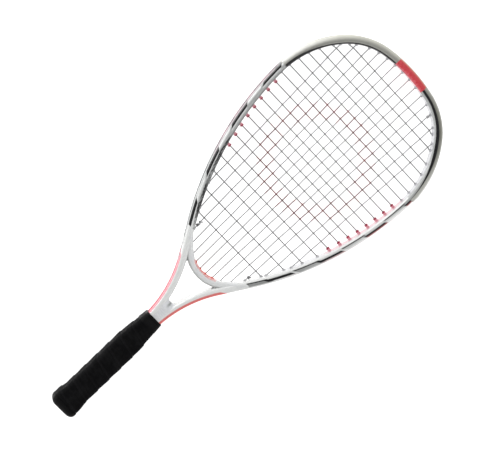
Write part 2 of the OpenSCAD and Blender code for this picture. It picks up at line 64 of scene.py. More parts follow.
TIP = [190.0, 10.4]
SHOULDER = [78.0, 48.2]
CHEEK = [112.0, 91.2]
SIDE = [360.0, 122.1]
RIM = [TIP, SHOULDER, CHEEK, SIDE]
ARM_STRAIGHT = 40.0
SHAFT_HALF = 9.2
TUBE_W = 8.4
TUBE_D = 17.5
TUBE_R = 2.9
CHANNEL_HALF = 2.5
CHANNEL_DEPTH = 2.4
STRIP_FLOOR = 1.4
BUMPER_T = 1.2
LIP_T = 0.8
LIP_REACH = 4.4
BUMPER_END = 87.5
LENGTH = cad_high.y / MM
TUBE_TIP = LENGTH - BUMPER_T
LEG_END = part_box("frame_tube")[0].y / MM

STRING_R = 0.6
MAIN_Z = 0.65
CROSS_Z = -0.65
MAINS = 7
CROSSES = 19
BRIDGE_MAINS = 2
MAIN_PITCH = 10.9
OUTER_PITCH = 13.0
MAIN_LEAN = 0.0009
LEAN_FADE = 0.000004
FIRST_CROSS = 31.1
CROSS_PITCH = 11.8
BED_Y = LENGTH - 50.4
MOST_SLANT = 32.0
BARREL_R = 1.7
BORE_R = 0.85
BARREL_OUT = 1.6
RED_BARREL_OUT = 4.4
RED_CROSSES = (8, 15)

BRIDGE_Y = LENGTH - 317.9
BRIDGE_RADIUS = 35.0
BRIDGE_SLOPE = 38.0
BRIDGE_D = 15.6


def sin(a):
    return math.sin(math.radians(a))


def cos(a):
    return math.cos(math.radians(a))


def unit(heading):
    """The direction at a heading, clockwise from +Y."""
    return Vector((sin(heading), cos(heading)))


def smooth(t):
    t = min(max(t, 0.0), 1.0)
    return t * t * (3 - 2 * t)


CENTRES = [Vector((0.0, TUBE_TIP - TIP[0]))]
for before, after in zip(RIM, RIM[1:]):
    CENTRES.append(CENTRES[-1] + (before[0] - after[0]) * unit(before[1]))
LAST = len(RIM) - 1
SIDE_END = SIDE[1]


def joint(i, inset):
    return CENTRES[i] + (RIM[i][0] - inset) * unit(RIM[i][1])


def arm_start(inset):
    return joint(LAST, inset)


def arm_end(inset):
    return arm_start(inset) + ARM_STRAIGHT * Vector((cos(SIDE_END), -sin(SIDE_END)))


ARM_RADIUS = (arm_end(0).x - SHAFT_HALF) / (1 - sin(SIDE_END))
ARM_CENTRE = arm_end(0) + ARM_RADIUS * unit(SIDE_END)
LEG_TOP = ARM_CENTRE.y
GRIP_TOP = LEG_TOP + 7.8


def arc_heading(i, p):
    return math.degrees(math.atan2(p[0] - CENTRES[i].x, p[1] - CENTRES[i].y))


def hit(x, y, outline, string):
    """Where a string meets the wall, its hole's heading, and how much longer the slant makes the hole."""
    if abs(outline - string) <= MOST_SLANT:
        return Vector((x, y)), string, 1 / cos(outline - string)
    return Vector((x, y)), outline, 1.0


def cross_hit(y, inset=TUBE_W):
    i = 0
    while i < LAST and y < joint(i, inset).y:
        i += 1
    x = CENTRES[i].x + math.sqrt((RIM[i][0] - inset) ** 2 - (y - CENTRES[i].y) ** 2)
    return hit(x, y, arc_heading(i, (x, y)), 90)


def head_x(i):
    return (min(i, 5) - 0.5) * MAIN_PITCH + max(i - 5, 0) * OUTER_PITCH


def main_slope(i):
    return head_x(i) * (MAIN_LEAN - LEAN_FADE * head_x(i))


def main_x(i, y):
    return head_x(i) - (BED_Y - y) * main_slope(i)


def main_heading(i):
    return math.degrees(math.atan(main_slope(i)))


def upper_hit(i):
    y = BED_Y
    for _ in range(6):
        x = main_x(i, y)
        k = 0
        while k < LAST and x > joint(k, TUBE_W).x:
            k += 1
        y = CENTRES[k].y + math.sqrt((RIM[k][0] - TUBE_W) ** 2 - (x - CENTRES[k].x) ** 2)
    x = main_x(i, y)
    return hit(x, y, arc_heading(k, (x, y)), main_heading(i))


def lower_hit(i):
    y = BED_Y - 200
    for _ in range(8):
        x = main_x(i, y)
        if x >= arm_start(TUBE_W).x:
            y = CENTRES[LAST].y - math.sqrt((SIDE[0] - TUBE_W) ** 2 - (x - CENTRES[LAST].x) ** 2)
            heading = arc_heading(LAST, (x, y))
        elif x >= arm_end(TUBE_W).x:
            y = arm_start(TUBE_W).y + (arm_start(TUBE_W).x - x) * sin(SIDE_END) / cos(SIDE_END)
            heading = SIDE_END
        else:
            y = ARM_CENTRE.y + math.sqrt((ARM_RADIUS + TUBE_W) ** 2 - (ARM_CENTRE.x - x) ** 2)
            heading = math.degrees(math.atan2(ARM_CENTRE.x - x, ARM_CENTRE.y - y))
    return hit(main_x(i, y), y, heading, main_heading(i) + 180)


def bridge_hit(i, radius):
    y = BRIDGE_Y + BRIDGE_RADIUS - math.sqrt(radius**2 - main_x(i, BRIDGE_Y) ** 2)
    return Vector((main_x(i, y), y))


def cross_y(k):
    y = LENGTH - FIRST_CROSS
    for n in range(1, k):
        y -= CROSS_PITCH + (2 if n <= 2 else 0) + ((n - 13) ** 1.5 if n > 13 else 0)
    return y


def along_hole(h, inset):
    p, heading, stretch = h
    return p + (TUBE_W - inset) * stretch * unit(heading)


# ---- Mesh helpers ----

def add_mesh(name, verts, faces, attributes, smooth_angle, material):
    """A mesh object from points in millimetres, with float attributes per vertex."""
    mesh = bpy.data.meshes.new(name)
    mesh.from_pydata([Vector(v) * MM for v in verts], [], faces)
    for key, values in attributes.items():
        layer = mesh.attributes.new(key, "FLOAT", "POINT")
        layer.data.foreach_set("value", values)
    bm = bmesh.new()
    bm.from_mesh(mesh)
    bmesh.ops.recalc_face_normals(bm, faces=bm.faces)
    bm.to_mesh(mesh)
    bm.free()
    mesh.shade_smooth()
    mesh.set_sharp_from_angle(angle=math.radians(smooth_angle))
    mesh.materials.append(material)
    piece = bpy.data.objects.new(name, mesh)
    bpy.context.collection.objects.link(piece)
    return piece


class Builder:
    """Collects rings of points and joins them into skins, with named attributes."""

    def __init__(self, *names):
        self.verts, self.faces = [], []
        self.attributes = {n: [] for n in names}

    def ring(self, points, **values):
        start = len(self.verts)
        self.verts.extend(points)
        for key, store in self.attributes.items():
            v = values.get(key, 0.0)
            store.extend(v if isinstance(v, list) else [v] * len(points))
        return list(range(start, start + len(points)))

    def skin(self, rings, capped=True):
        """Joins rings that have the same number of points, and closes the two ends."""
        for a, b in zip(rings, rings[1:]):
            n = len(a)
            for k in range(n):
                m = (k + 1) % n
                self.faces.append((a[k], a[m], b[m], b[k]))
        if capped:
            self.faces.append(tuple(reversed(rings[0])))
            self.faces.append(tuple(rings[-1]))

    def make(self, name, material, smooth_angle=40.0):
        return add_mesh(name, self.verts, self.faces, self.attributes, smooth_angle, material)


STATION_STEP = 1.6


def stations(side_limit=None):
    """The right side's outer wall from the tip down: (point, outward direction, distance from the tip)."""
    out, run = [], 0.0
    for i, (radius, end) in enumerate(RIM):
        begin = 0.0 if i == 0 else RIM[i - 1][1]
        stop = min(end, side_limit) if side_limit is not None else end
        if stop <= begin:
            break
        n = max(2, round(math.radians(stop - begin) * radius / STATION_STEP))
        for k in range(n):
            h = begin + (stop - begin) * k / n
            out.append((CENTRES[i] + radius * unit(h), unit(h), run + math.radians(h - begin) * radius))
        run += math.radians(stop - begin) * radius
        if side_limit is not None and stop == side_limit:
            out.append((CENTRES[i] + radius * unit(stop), unit(stop), run))
            return out
    along = Vector((cos(SIDE_END), -sin(SIDE_END)))
    n = round(ARM_STRAIGHT / STATION_STEP)
    for k in range(n):
        d = ARM_STRAIGHT * k / n
        out.append((arm_start(0) + d * along, unit(SIDE_END), run + d))
    run += ARM_STRAIGHT
    bend = math.radians(SIDE_END - 90) * ARM_RADIUS
    n = round(bend / STATION_STEP)
    for k in range(n):
        h = SIDE_END + (90 - SIDE_END) * k / n
        out.append((ARM_CENTRE - ARM_RADIUS * unit(h), unit(h), run + bend * k / n))
    run += bend
    n = round((LEG_TOP - LEG_END) / STATION_STEP / 3)
    for k in range(n + 1):
        y = LEG_TOP + (LEG_END - LEG_TOP) * k / n
        out.append((Vector((SHAFT_HALF, y)), unit(90), run + LEG_TOP - y))
    return out


def both_ways(half):
    """The whole run from the left end over the tip to the right end."""
    left = [(Vector((-p.x, p.y)), Vector((-n.x, n.y)), -s) for p, n, s in half[:0:-1]]
    return left + half


def corner(x, z, r, begin, steps):
    angles = [begin + 90 * k / steps for k in range(steps + 1)]
    return [(x + r * cos(a), z + r * sin(a)) for a in angles]


def section_at(p, d, section, side=1):
    """The points of a flat section (distance along d, height) at a point of the racket."""
    return [(side * (p.x + d.x * u), p.y + d.y * u, z) for u, z in section]


LATHE_SIDES = 20


def lathe(builder, origin, direction, profile, **values):
    """A turned piece along a direction in the XY plane: profile is (distance along, radius)."""
    ox, oy, oz = origin
    dx, dy = direction
    longest = max(d for d, _ in profile)
    rings = []
    for d, r in profile:
        values["end"] = longest - d
        ring = []
        for k in range(LATHE_SIDES):
            a = 360 * k / LATHE_SIDES
            ring.append((ox + dx * d - dy * r * cos(a), oy + dy * d + dx * r * cos(a), oz + r * sin(a)))
        rings.append(builder.ring(ring, **values))
    return rings


# ---- Node helpers ----

class Value:
    """A number inside a material, for ordinary arithmetic."""

    def __init__(self, nodes, socket):
        self.nodes = nodes
        self.socket = socket

    def __add__(self, other):
        return self.nodes.math("ADD", self, other)

    def __sub__(self, other):
        return self.nodes.math("SUBTRACT", self, other)

    def __rsub__(self, other):
        return self.nodes.math("SUBTRACT", other, self)

    def __mul__(self, other):
        return self.nodes.math("MULTIPLY", self, other)

    def __truediv__(self, other):
        return self.nodes.math("DIVIDE", self, other)

    __radd__ = __add__
    __rmul__ = __mul__


class Nodes:
    """A short way to write procedural materials."""

    def __init__(self, name):
        self.material = bpy.data.materials.new(name)
        self.material.use_nodes = True
        self.tree = self.material.node_tree
        self.shader = self.tree.nodes["Principled BSDF"]
        self.place = self.tree.nodes.new("ShaderNodeTexCoord").outputs["Object"]

    def put(self, socket, value):
        if isinstance(value, Value):
            value = value.socket
        if isinstance(value, bpy.types.NodeSocket):
            self.tree.links.new(value, socket)
        elif socket.type == "RGBA" and len(value) == 3:
            socket.default_value = (*value, 1.0)
        else:
            socket.default_value = value

    def set(self, **values):
        for key, value in values.items():
            self.put(self.shader.inputs[key.replace("_", " ")], value)

    def math(self, op, a, b=0.0, clamp=False):
        node = self.tree.nodes.new("ShaderNodeMath")
        node.operation = op
        node.use_clamp = clamp
        self.put(node.inputs[0], a)
        self.put(node.inputs[1], b)
        return Value(self, node.outputs[0])

    def clamp(self, value):
        """Cuts a value to between 0 and 1."""
        return self.math("ADD", value, clamp=True)

    def mix(self, factor, a, b):
        node = self.tree.nodes.new("ShaderNodeMix")
        node.data_type = "RGBA"
        self.put(node.inputs[0], factor)
        self.put(node.inputs[6], a)
        self.put(node.inputs[7], b)
        return node.outputs[2]

    def attribute(self, name):
        node = self.tree.nodes.new("ShaderNodeAttribute")
        node.attribute_name = name
        return Value(self, node.outputs["Fac"])

    def axes(self):
        """X, Y and Z in millimetres."""
        node = self.tree.nodes.new("ShaderNodeSeparateXYZ")
        self.put(node.inputs[0], self.place)
        return [self.math("MULTIPLY", node.outputs[k], 1 / MM) for k in range(3)]

    def scaled(self, x, y, z):
        """Object coordinates stretched by a factor each way."""
        node = self.tree.nodes.new("ShaderNodeMapping")
        self.put(node.inputs["Vector"], self.place)
        node.inputs["Scale"].default_value = (x, y, z)
        return node.outputs[0]

    def noise(self, size, detail=3.0, rough=0.5, vector=None):
        """Noise whose features are about this many millimetres across, from 0 to 1."""
        node = self.tree.nodes.new("ShaderNodeTexNoise")
        self.put(node.inputs["Vector"], vector or self.place)
        node.inputs["Scale"].default_value = 1 / (size * MM)
        node.inputs["Detail"].default_value = detail
        node.inputs["Roughness"].default_value = rough
        return Value(self, node.outputs[0])

    def cells(self, size):
        node = self.tree.nodes.new("ShaderNodeTexVoronoi")
        self.put(node.inputs["Vector"], self.place)
        node.inputs["Scale"].default_value = 1 / (size * MM)
        return Value(self, node.outputs["Distance"])

    def range(self, value, low, high, to_low=0.0, to_high=1.0):
        """Eases from one number to another as a value goes from low to high."""
        node = self.tree.nodes.new("ShaderNodeMapRange")
        node.interpolation_type = "SMOOTHSTEP"
        for socket, v in zip(node.inputs, (value, low, high, to_low, to_high)):
            self.put(socket, v)
        return Value(self, node.outputs[0])

    def above(self, value, at, soft):
        """0 below a number and 1 above it."""
        return self.range(value, at - soft, at + soft)

    def below(self, value, at, soft):
        return 1.0 - self.above(value, at, soft)

    def band(self, value, low, high, soft):
        """1 between two numbers and 0 outside them."""
        return self.clamp(self.above(value, low, soft) - self.above(value, high, soft))

    def spread(self, noise, low=0.0, high=1.0):
        """Noise stretched to the whole of a range."""
        return self.range(noise, 0.3, 0.7, low, high)

    def cloud(self, size, amount=1.0, detail=4.0):
        return self.spread(self.noise(size, detail), 0.0, amount)

    def satin(self, low, high):
        """Roughness that varies a little from place to place."""
        return self.spread(self.noise(1.0, detail=4.0), low, high)

    def bump(self, height, depth):
        """Bump whose height runs over this many millimetres."""
        node = self.tree.nodes.new("ShaderNodeBump")
        node.inputs["Strength"].default_value = 1.0
        node.inputs["Distance"].default_value = depth * MM
        self.put(node.inputs["Height"], height)
        return node.outputs[0]


# ---- Paint ----

WHITE_PAINT = (0.81, 0.82, 0.81)
HIGHLIGHT_WHITE = (0.93, 0.93, 0.92)
SILVER = (0.40, 0.41, 0.405)
PALE = (0.62, 0.62, 0.65)
COOL_WHITE = (0.73, 0.74, 0.76)
WARM_GREY = (0.36, 0.36, 0.33)
BLACK_PAINT = (0.006, 0.006, 0.007)
RED_PAINT = (0.66, 0.035, 0.05)
LIGHT_RED = (0.86, 0.16, 0.19)
MAROON = (0.30, 0.012, 0.02)
PINK_PAINT = (0.80, 0.26, 0.31)
WARM_RED = (0.78, 0.19, 0.18)
MAUVE = (0.45, 0.36, 0.39)
FRAME_DUST = (0.55, 0.55, 0.54)
CREASE_SHADE = (0.20, 0.215, 0.20)

# Heights of the pattern's parts
BLOCK_BOTTOM = 490.0
PATTERN_TOP = 434.5
FLASH_TOP = 431.0
RED_REFLECTION_TOP = 428.0
RED_REFLECTION_END = 326.0
FLASH_END = 318.0
PATTERN_END = 240.6
GREY_END = 228.0
STRIPE_TOP = 217.0
PATTERN_PITCH = 55.5
BLOCK_LEFT = -19.0
BLOCK_RIGHT = 23.5

# Lanes of paint, as distances round the section from the channel's edge
OUTER_WALL = 4.4
INNER_WALL = 14.2
WALL_MIDDLE = 15.5
RIGHT_WHITE_OUTER = (3.0, 7.0)
RIGHT_WHITE_INNER = (11.6, 14.0)
LEFT_WHITE_INNER = (8.2, 9.2)
LEFT_WHITE_OUTER = (5.6, 7.6)
LEFT_GREY = (1.5, 6.0)
LEFT_MORE = (9.6, 13.8)
LEFT_END = 14.6
RIGHT_LINE = (10.0, 11.1)
RIGHT_VEIL = (6.6, 10.4)
MAROON_LINE = (6.3, 7.6)
FRINGE = (11.0, 17.5)


class TubePlace:
    """Where a point of the tube is: along its axes, round its section and on which side."""

    def __init__(self, n):
        self.x, self.y, _ = n.axes()
        self.girth = n.attribute("girth")
        self.lane = self.girth + (n.noise(6) - 0.5) * 0.25
        self.right = n.above(self.x, 0.0, 0.01)
        self.left = 1.0 - self.right


def base_coat(n, at):
    """Silver with a soft cloud, whiter towards the throat and on the right."""
    base = n.mix(n.cloud(25, 0.25, detail=3.0), SILVER, WHITE_PAINT)
    base = n.mix(n.range(at.y, PATTERN_END - 8, PATTERN_END + 60, 1.0, 0.0), base, WHITE_PAINT)
    base = n.mix(at.right * n.range(at.y, 405, 432, 0.7, 0.0), base, WHITE_PAINT)
    return n.mix(n.above(at.girth, INNER_WALL, 0.9) * n.range(at.y, 240, 300, 0.0, 0.8), base, PALE)


def dashes(n, at, colour):
    """Two lanes of slanted dashes that take turns down the sides, with streaks beside them."""
    turns = (PATTERN_TOP - at.y) / PATTERN_PITCH - (at.girth - 8.0) * 0.022
    phase = n.math("FRACT", turns)
    first = n.band(phase, 0.08, 0.60, 0.006)
    second = 1.0 - n.band(phase, 0.16, 0.66, 0.006)
    zone = n.band(at.y, PATTERN_END, PATTERN_TOP, 0.5)
    zone = zone * n.above(at.y, PATTERN_END + 2 - at.girth * 0.9, 0.4)
    lower = n.range(at.y, 255.0, 400.0, 1.0, 0.0)
    upper = 1.0 - lower
    deep = n.range(at.y, 322.0, 348.0, 1.0, 0.0) * n.range(at.y, 238.0, 262.0, 0.35, 1.0)
    hatch = n.range(n.noise(1.5, detail=4.0, vector=n.scaled(1.0, 0.3, 1.0)), 0.35, 0.6, 0.4, 1.0)

    right_white = n.band(at.lane, *RIGHT_WHITE_OUTER, 0.4) + n.band(at.lane, *RIGHT_WHITE_INNER, 0.3)
    white = at.right * n.clamp(right_white)
    white = n.clamp(white + at.left * first * n.band(at.lane, *LEFT_WHITE_INNER, 0.2))
    white = n.clamp(white + at.left * second * n.band(at.lane, *LEFT_WHITE_OUTER, 0.4))
    colour = n.mix(zone * white, colour, WHITE_PAINT)
    # Painted highlight: the outer corner of the right side is drawn near-white, as if it caught the light
    painted_highlight = zone * at.right * n.below(at.lane, 7.8, 0.4) * n.range(at.y, 330.0, 350.0, 0.3, 1.0)
    colour = n.mix(painted_highlight, colour, HIGHLIGHT_WHITE)

    left_outer = n.band(at.lane, 4.4 + upper * 1.2, 8.0, 0.25)
    left_grey = n.band(at.lane, *LEFT_GREY, 0.7) * upper * 0.7
    left_inner = n.band(at.lane, 11.2 - deep * 2.3, LEFT_END, 0.4) * (0.66 + deep * 0.26) * hatch
    left_more = second * n.band(at.lane, *LEFT_MORE, 0.4) * deep * 0.5 * hatch
    right_line = n.band(at.lane, *RIGHT_LINE, 0.15)
    right_veil = n.band(at.lane, *RIGHT_VEIL, 0.4) * lower * 0.62
    right_outer = n.band(at.lane, 7.4, 9.2 + lower * 1.1, 0.2)
    dark = at.left * first * n.clamp(left_outer + left_grey)
    dark = n.clamp(dark + at.left * n.clamp(left_inner + left_more))
    dark = n.clamp(dark + at.right * first * n.clamp(right_line + right_veil))
    dark = n.clamp(dark + at.right * second * right_outer)
    maroon = zone * at.right * second * n.band(at.lane, *MAROON_LINE, 0.3) * upper
    colour = n.mix(maroon, colour, MAROON)
    return n.mix(zone * dark, colour, BLACK_PAINT)


def wall_flashes(n, at, colour):
    """Flashes with slanted ends outside, and a painted pink reflection of the red barrels on the inner wall.
    """
    outside = n.below(at.lane, OUTER_WALL, 0.5)
    slope = at.y + at.girth * 1.8
    flash = n.band(slope, FLASH_END, FLASH_TOP, 0.6) * outside
    colour = n.mix(flash * at.left, colour, MAUVE)
    colour = n.mix(flash * at.right, colour, PINK_PAINT)
    colour = n.mix(outside * at.left * n.band(slope, GREY_END, FLASH_END, 1.0), colour, SILVER)
    # Painted reflection: a pink tint on the inner wall where the red barrels stand
    red_reflection = n.above(at.girth, WALL_MIDDLE, 1.2) * n.band(at.y, RED_REFLECTION_END, RED_REFLECTION_TOP, 5.0)
    return n.mix(red_reflection * 0.4, colour, PINK_PAINT)


def tip_paint(n, at, colour):
    """Black beside the bumper's lip, thinner down the sides, and a red block at the tip."""
    top = n.above(at.y, PATTERN_TOP, 0.6)
    right_end = n.range(at.y, PATTERN_TOP, 495.0, 9.2, 11.6)
    right_end = right_end - n.range(at.y, 500.0, 524.0, 0.0, 0.2 + at.right * 0.7)
    black_end = right_end * at.right + at.left * LEFT_END
    black_start = at.left * n.range(at.y, PATTERN_TOP, 500.0, 9.0, 11.2)
    started = n.above(at.lane, black_start, 0.25)
    colour = n.mix(top * at.left * (1.0 - started), colour, WARM_GREY)
    black = top * n.below(at.lane, black_end, 0.18) * n.math("MAXIMUM", started, at.right)
    colour = n.mix(black, colour, BLACK_PAINT)
    block = tip_block(n, at.x, at.y)
    streaks = n.range(n.noise(0.8, detail=3.0, vector=n.scaled(1.0, 0.25, 0.4)), 0.35, 0.65)
    red = block * n.below(at.lane, 13.4 + streaks, 0.3)
    colour = n.mix(red, colour, n.mix(streaks * 0.6, RED_PAINT, LIGHT_RED))
    return n.mix(block * n.band(at.lane, *FRINGE, 0.8) * streaks * 0.7, colour, PINK_PAINT)


def tip_block(n, x, y):
    return n.above(y, BLOCK_BOTTOM, 1.0) * n.band(x, BLOCK_LEFT, BLOCK_RIGHT, 0.25)


def arm_stripe(n, at, colour):
    """A stripe along the outside of each arm, with a slanted upper end."""
    slope = at.y + at.girth * (1.0 + at.right * 0.6) - at.right * 10.0
    stripe = n.band(at.lane, -2.0, 5.4 + at.right * 2.8, 0.5) * n.below(slope, STRIPE_TOP, 0.5)
    return n.mix(stripe, colour, n.mix(at.right, PINK_PAINT, WARM_RED))


def lacquer(n, colour, scratch, dust, wave):
    """A glossy coat with some dust in it, fine scratches and a slight wave."""
    settled = n.range(n.noise(1.2, detail=6.0), 0.58, 0.75, 0.0, 0.12)
    rough = n.range(scratch, 0.35, 0.75, 0.2, 0.34)
    n.set(Base_Color=n.mix(settled, colour, dust), Roughness=rough, Metallic=0.1, Normal=wave)
    n.set(Coat_Weight=0.35, Coat_Roughness=0.08, Specular_IOR_Level=0.3)


def frame_paint():
    n = Nodes("frame_paint")
    at = TubePlace(n)
    colour = base_coat(n, at)
    for layer in (dashes, wall_flashes, tip_paint, arm_stripe):
        colour = layer(n, at, colour)
    scratch = n.noise(0.5, detail=2.0, vector=n.scaled(1.0, 0.06, 1.0))
    wave = n.bump(n.noise(0.22, detail=1.0) * 0.25 + n.noise(8.0), 0.02)
    lacquer(n, colour, scratch, FRAME_DUST, wave)
    return n.material


def throat_paint():
    n = Nodes("bridge_paint")
    x = n.axes()[0]
    girth = n.attribute("girth")
    colour = n.mix(n.cloud(14, detail=3.0), WHITE_PAINT, COOL_WHITE)
    # Painted shade: the side away from the strings is drawn darker grey, with fine ribs
    rib = n.range(n.math("SINE", n.attribute("run") * 3.4), -0.4, 0.6, 0.35, 1.0)
    shaded_ribs = n.mix(rib, (0.24, 0.25, 0.24), (0.46, 0.47, 0.46))
    colour = n.mix(n.above(girth, 2.3, 0.7) * 0.75, colour, shaded_ribs)
    # An uneven red line along the string side, under the middle strings
    uneven = n.range(n.noise(1.1, detail=3.0), 0.36, 0.6)
    inside = n.below(girth, -2.4, 0.35) * n.band(x, -16.0, 17.0, 0.8)
    colour = n.mix(inside * uneven, colour, (0.80, 0.14, 0.11))
    colour = n.mix(n.attribute("crease"), colour, CREASE_SHADE)
    scratch = n.noise(0.5, detail=2.0, vector=n.scaled(0.08, 1.0, 1.0))
    lacquer(n, colour, scratch, (0.5, 0.5, 0.5), n.bump(n.noise(7.0), 0.03))
    return n.material


# ---- Plastics ----

CREAM = (0.84, 0.84, 0.80)
RIGHT_CREAM = (0.84, 0.84, 0.81)
BEIGE = (0.62, 0.62, 0.55)
LIP_GREY = (0.33, 0.33, 0.30)
SHADE_OLIVE_EDGE = (0.38, 0.38, 0.34)
SHADE_OLIVE_LOW = (0.46, 0.46, 0.42)
SHADE_OLIVE = (0.17, 0.17, 0.14)
STONE = (0.42, 0.41, 0.37)
BRICK = (0.66, 0.22, 0.16)
DEEP_RED = (0.56, 0.03, 0.04)
ROSE = (0.80, 0.12, 0.14)
WORN = (0.5, 0.49, 0.46)


def bumper_plastic():
    """Cream on the left and olive, a painted shade, on the right; worn outside, with a red tip block and pale
    barrels.
    """
    n = Nodes("bumper_plastic")
    x, y, _ = n.axes()
    reach = n.attribute("reach")
    height = n.range(y, 452.0, 508.0)
    left = n.mix(n.range(reach, 1.6, 5.2), n.mix(height, CREAM, BEIGE), LIP_GREY)
    # Painted shade: the right side is the same cream plastic drawn olive, as if in shadow, paler towards the
    # outer edge
    edge = n.mix(height, RIGHT_CREAM, SHADE_OLIVE_EDGE)
    right = n.mix(n.range(reach, 0.8, 3.4), edge, n.mix(height, SHADE_OLIVE_LOW, SHADE_OLIVE))
    colour = n.mix(n.range(x + (n.noise(30) - 0.5) * 20, -60.0, 70.0), left, right)
    cloud = n.cloud(9.0, 0.2)
    colour = n.mix(cloud, colour, STONE)
    black_from = n.range(y, 440.0, 495.0, 5.4, 4.5)
    colour = n.mix(n.above(x, BLOCK_RIGHT, 0.2) * n.above(reach, black_from, 0.25), colour, BLACK_PAINT)
    block = tip_block(n, x, y)
    streaks = n.range(n.noise(0.9, detail=3.0, vector=n.scaled(1.0, 0.3, 0.4)), 0.35, 0.65)
    colour = n.mix(block * n.above(reach, 0.9, 0.4), colour, BRICK)
    colour = n.mix(block * n.above(reach, 2.1, 0.5), colour, n.mix(streaks * 0.5, DEEP_RED, ROSE))
    scuff = n.noise(1.6, detail=6.0, rough=0.7, vector=n.scaled(0.25, 1.0, 1.0))
    colour = n.mix(n.range(scuff, 0.52, 0.68, 0.0, 0.5) * n.below(reach, 1.0, 0.6), colour, WORN)
    barrels = n.mix(cloud, (0.52, 0.52, 0.54), (0.62, 0.62, 0.64))
    colour = n.mix(n.below(reach, -0.5, 0.1), colour, barrels)
    n.set(Base_Color=colour, Roughness=n.range(scuff, 0.3, 0.8, 0.42, 0.62))
    n.set(Normal=n.bump(n.cells(0.5) + scuff * 1.5, 0.06))
    return n.material


def moulded(name, colour, other, rough=(0.35, 0.5)):
    """Moulded plastic: a slight cloud of colour, a fine grain and flow lines."""
    n = Nodes(name)
    n.set(Base_Color=n.mix(n.cloud(3.0), colour, other), Roughness=n.satin(*rough))
    n.set(Normal=n.bump(n.cells(0.35) + n.noise(1.5), 0.03))
    return n.material


def barrel_plastic():
    """Crimson at the barrels' ends and paler where the light from the wall gets into them."""
    n = Nodes("side_grommet_plastic")
    crimson = n.mix(n.cloud(2.0), (0.44, 0.005, 0.055), (0.30, 0.003, 0.035))
    colour = n.mix(n.above(n.attribute("end"), 1.35, 0.25), crimson, (0.80, 0.36, 0.42))
    n.set(Base_Color=colour, Roughness=n.satin(0.25, 0.4))
    n.set(Normal=n.bump(n.cells(0.35) + n.noise(1.5), 0.03))
    return n.material


# ---- String, grip and inner materials ----

RING_Y = 388.0
RING_RADIUS = 66.0
RING_WIDTH = 19.0
TWISTS = 3


def string_nylon(name, colour, dark, gloss):
    """Twisted multifilament string, with a plain red ring rubbed on with paint."""
    n = Nodes(name)
    x, y, _ = n.axes()
    twist = n.attribute("run") * 2.2 + n.attribute("turn") * (TWISTS * 2 * math.pi)
    fibre = n.range(n.math("SINE", twist), -1.0, 1.0)
    base = n.mix(n.cloud(2.5), colour, dark)
    # Painted highlight: the strands are drawn lighter along each twist
    base = n.mix(fibre * 0.18, base, (0.75, 0.75, 0.75))
    up = y - RING_Y
    distance = n.math("SQRT", x * x + up * up) + (n.noise(4.0) - 0.5) * 2.0
    ring = n.band(distance, RING_RADIUS - RING_WIDTH, RING_RADIUS, 0.6)
    covered = n.range(n.noise(0.9, detail=5.0), 0.3, 0.42, 0.8, 1.0)
    red = n.mix(n.range(n.noise(3.0), 0.35, 0.65), (0.055, 0.0, 0.003), (0.20, 0.001, 0.008))
    n.set(Base_Color=n.mix(ring * covered, base, red), Roughness=n.range(fibre, 0, 1, gloss, gloss + 0.12))
    n.set(Normal=n.bump(fibre, 0.05), Coat_Weight=0.1, Coat_Roughness=0.2, Specular_IOR_Level=0.3)
    return n.material


def dot_shape(n, value, count):
    """Distance from the middle of each of a number of equal steps."""
    return n.math("ABSOLUTE", n.math("FRACT", value * count) - 0.5)


def grip_leather():
    """Soft black polyurethane tape: fine pores, rows of punched dots and a paler, rubbed high side."""
    n = Nodes("grip_leather")
    wrap = n.attribute("wrap")
    grain = n.noise(0.6, detail=5.0, rough=0.6)
    rub = n.range(n.noise(9.0, detail=5.0), 0.38, 0.68)
    edge = n.clamp(n.below(wrap, 0.05, 0.03) + n.above(wrap, 0.95, 0.02))
    colour = n.mix(rub, (0.003, 0.003, 0.0033), (0.007, 0.007, 0.0075))
    colour = n.mix(edge * 0.35, colour, (0.014, 0.014, 0.015))
    colour = n.mix(n.range(grain, 0.45, 0.75) * 0.3, colour, (0.012, 0.012, 0.013))
    row = dot_shape(n, wrap, 4.0)
    dot = dot_shape(n, n.attribute("turn"), 26.0)
    hole = n.below(row * row * 22.0 + dot * dot * 10.0, 0.42, 0.12)
    colour = n.mix(hole * 0.8, colour, (0.003, 0.003, 0.003))
    height = grain * 0.6 + n.cells(0.9) * 0.5 - hole * 1.2
    n.set(Base_Color=colour, Roughness=n.range(grain, 0.3, 0.7, 0.6, 0.8), Specular_IOR_Level=0.05)
    n.set(Normal=n.bump(height, 0.28))
    return n.material


def rubber(name, colour, rough):
    n = Nodes(name)
    dust = n.range(n.noise(2.0, detail=6.0), 0.5, 0.8, 0.0, 0.4)
    n.set(Base_Color=n.mix(dust, colour, (0.012, 0.012, 0.012)), Roughness=n.satin(rough, rough + 0.12))
    n.set(Normal=n.bump(n.cells(0.4) + n.noise(2.0), 0.04), Specular_IOR_Level=0.1)
    return n.material


def wood():
    n = Nodes("pallet_wood")
    rings = n.noise(1.1, detail=5.0, vector=n.scaled(1.0, 0.07, 1.0))
    colour = n.mix(n.spread(rings), (0.52, 0.36, 0.2), (0.34, 0.21, 0.1))
    n.set(Base_Color=colour, Roughness=n.spread(rings, 0.55, 0.75), Normal=n.bump(rings, 0.08))
    return n.material


def steel():
    n = Nodes("fastener_steel")
    lines = n.noise(0.3, detail=3.0, vector=n.scaled(1.0, 1.0, 0.1))
    n.set(Base_Color=n.mix(lines, (0.5, 0.5, 0.5), (0.66, 0.66, 0.65)), Metallic=1.0)
    n.set(Roughness=n.spread(lines, 0.22, 0.42), Normal=n.bump(lines, 0.01))
    return n.material


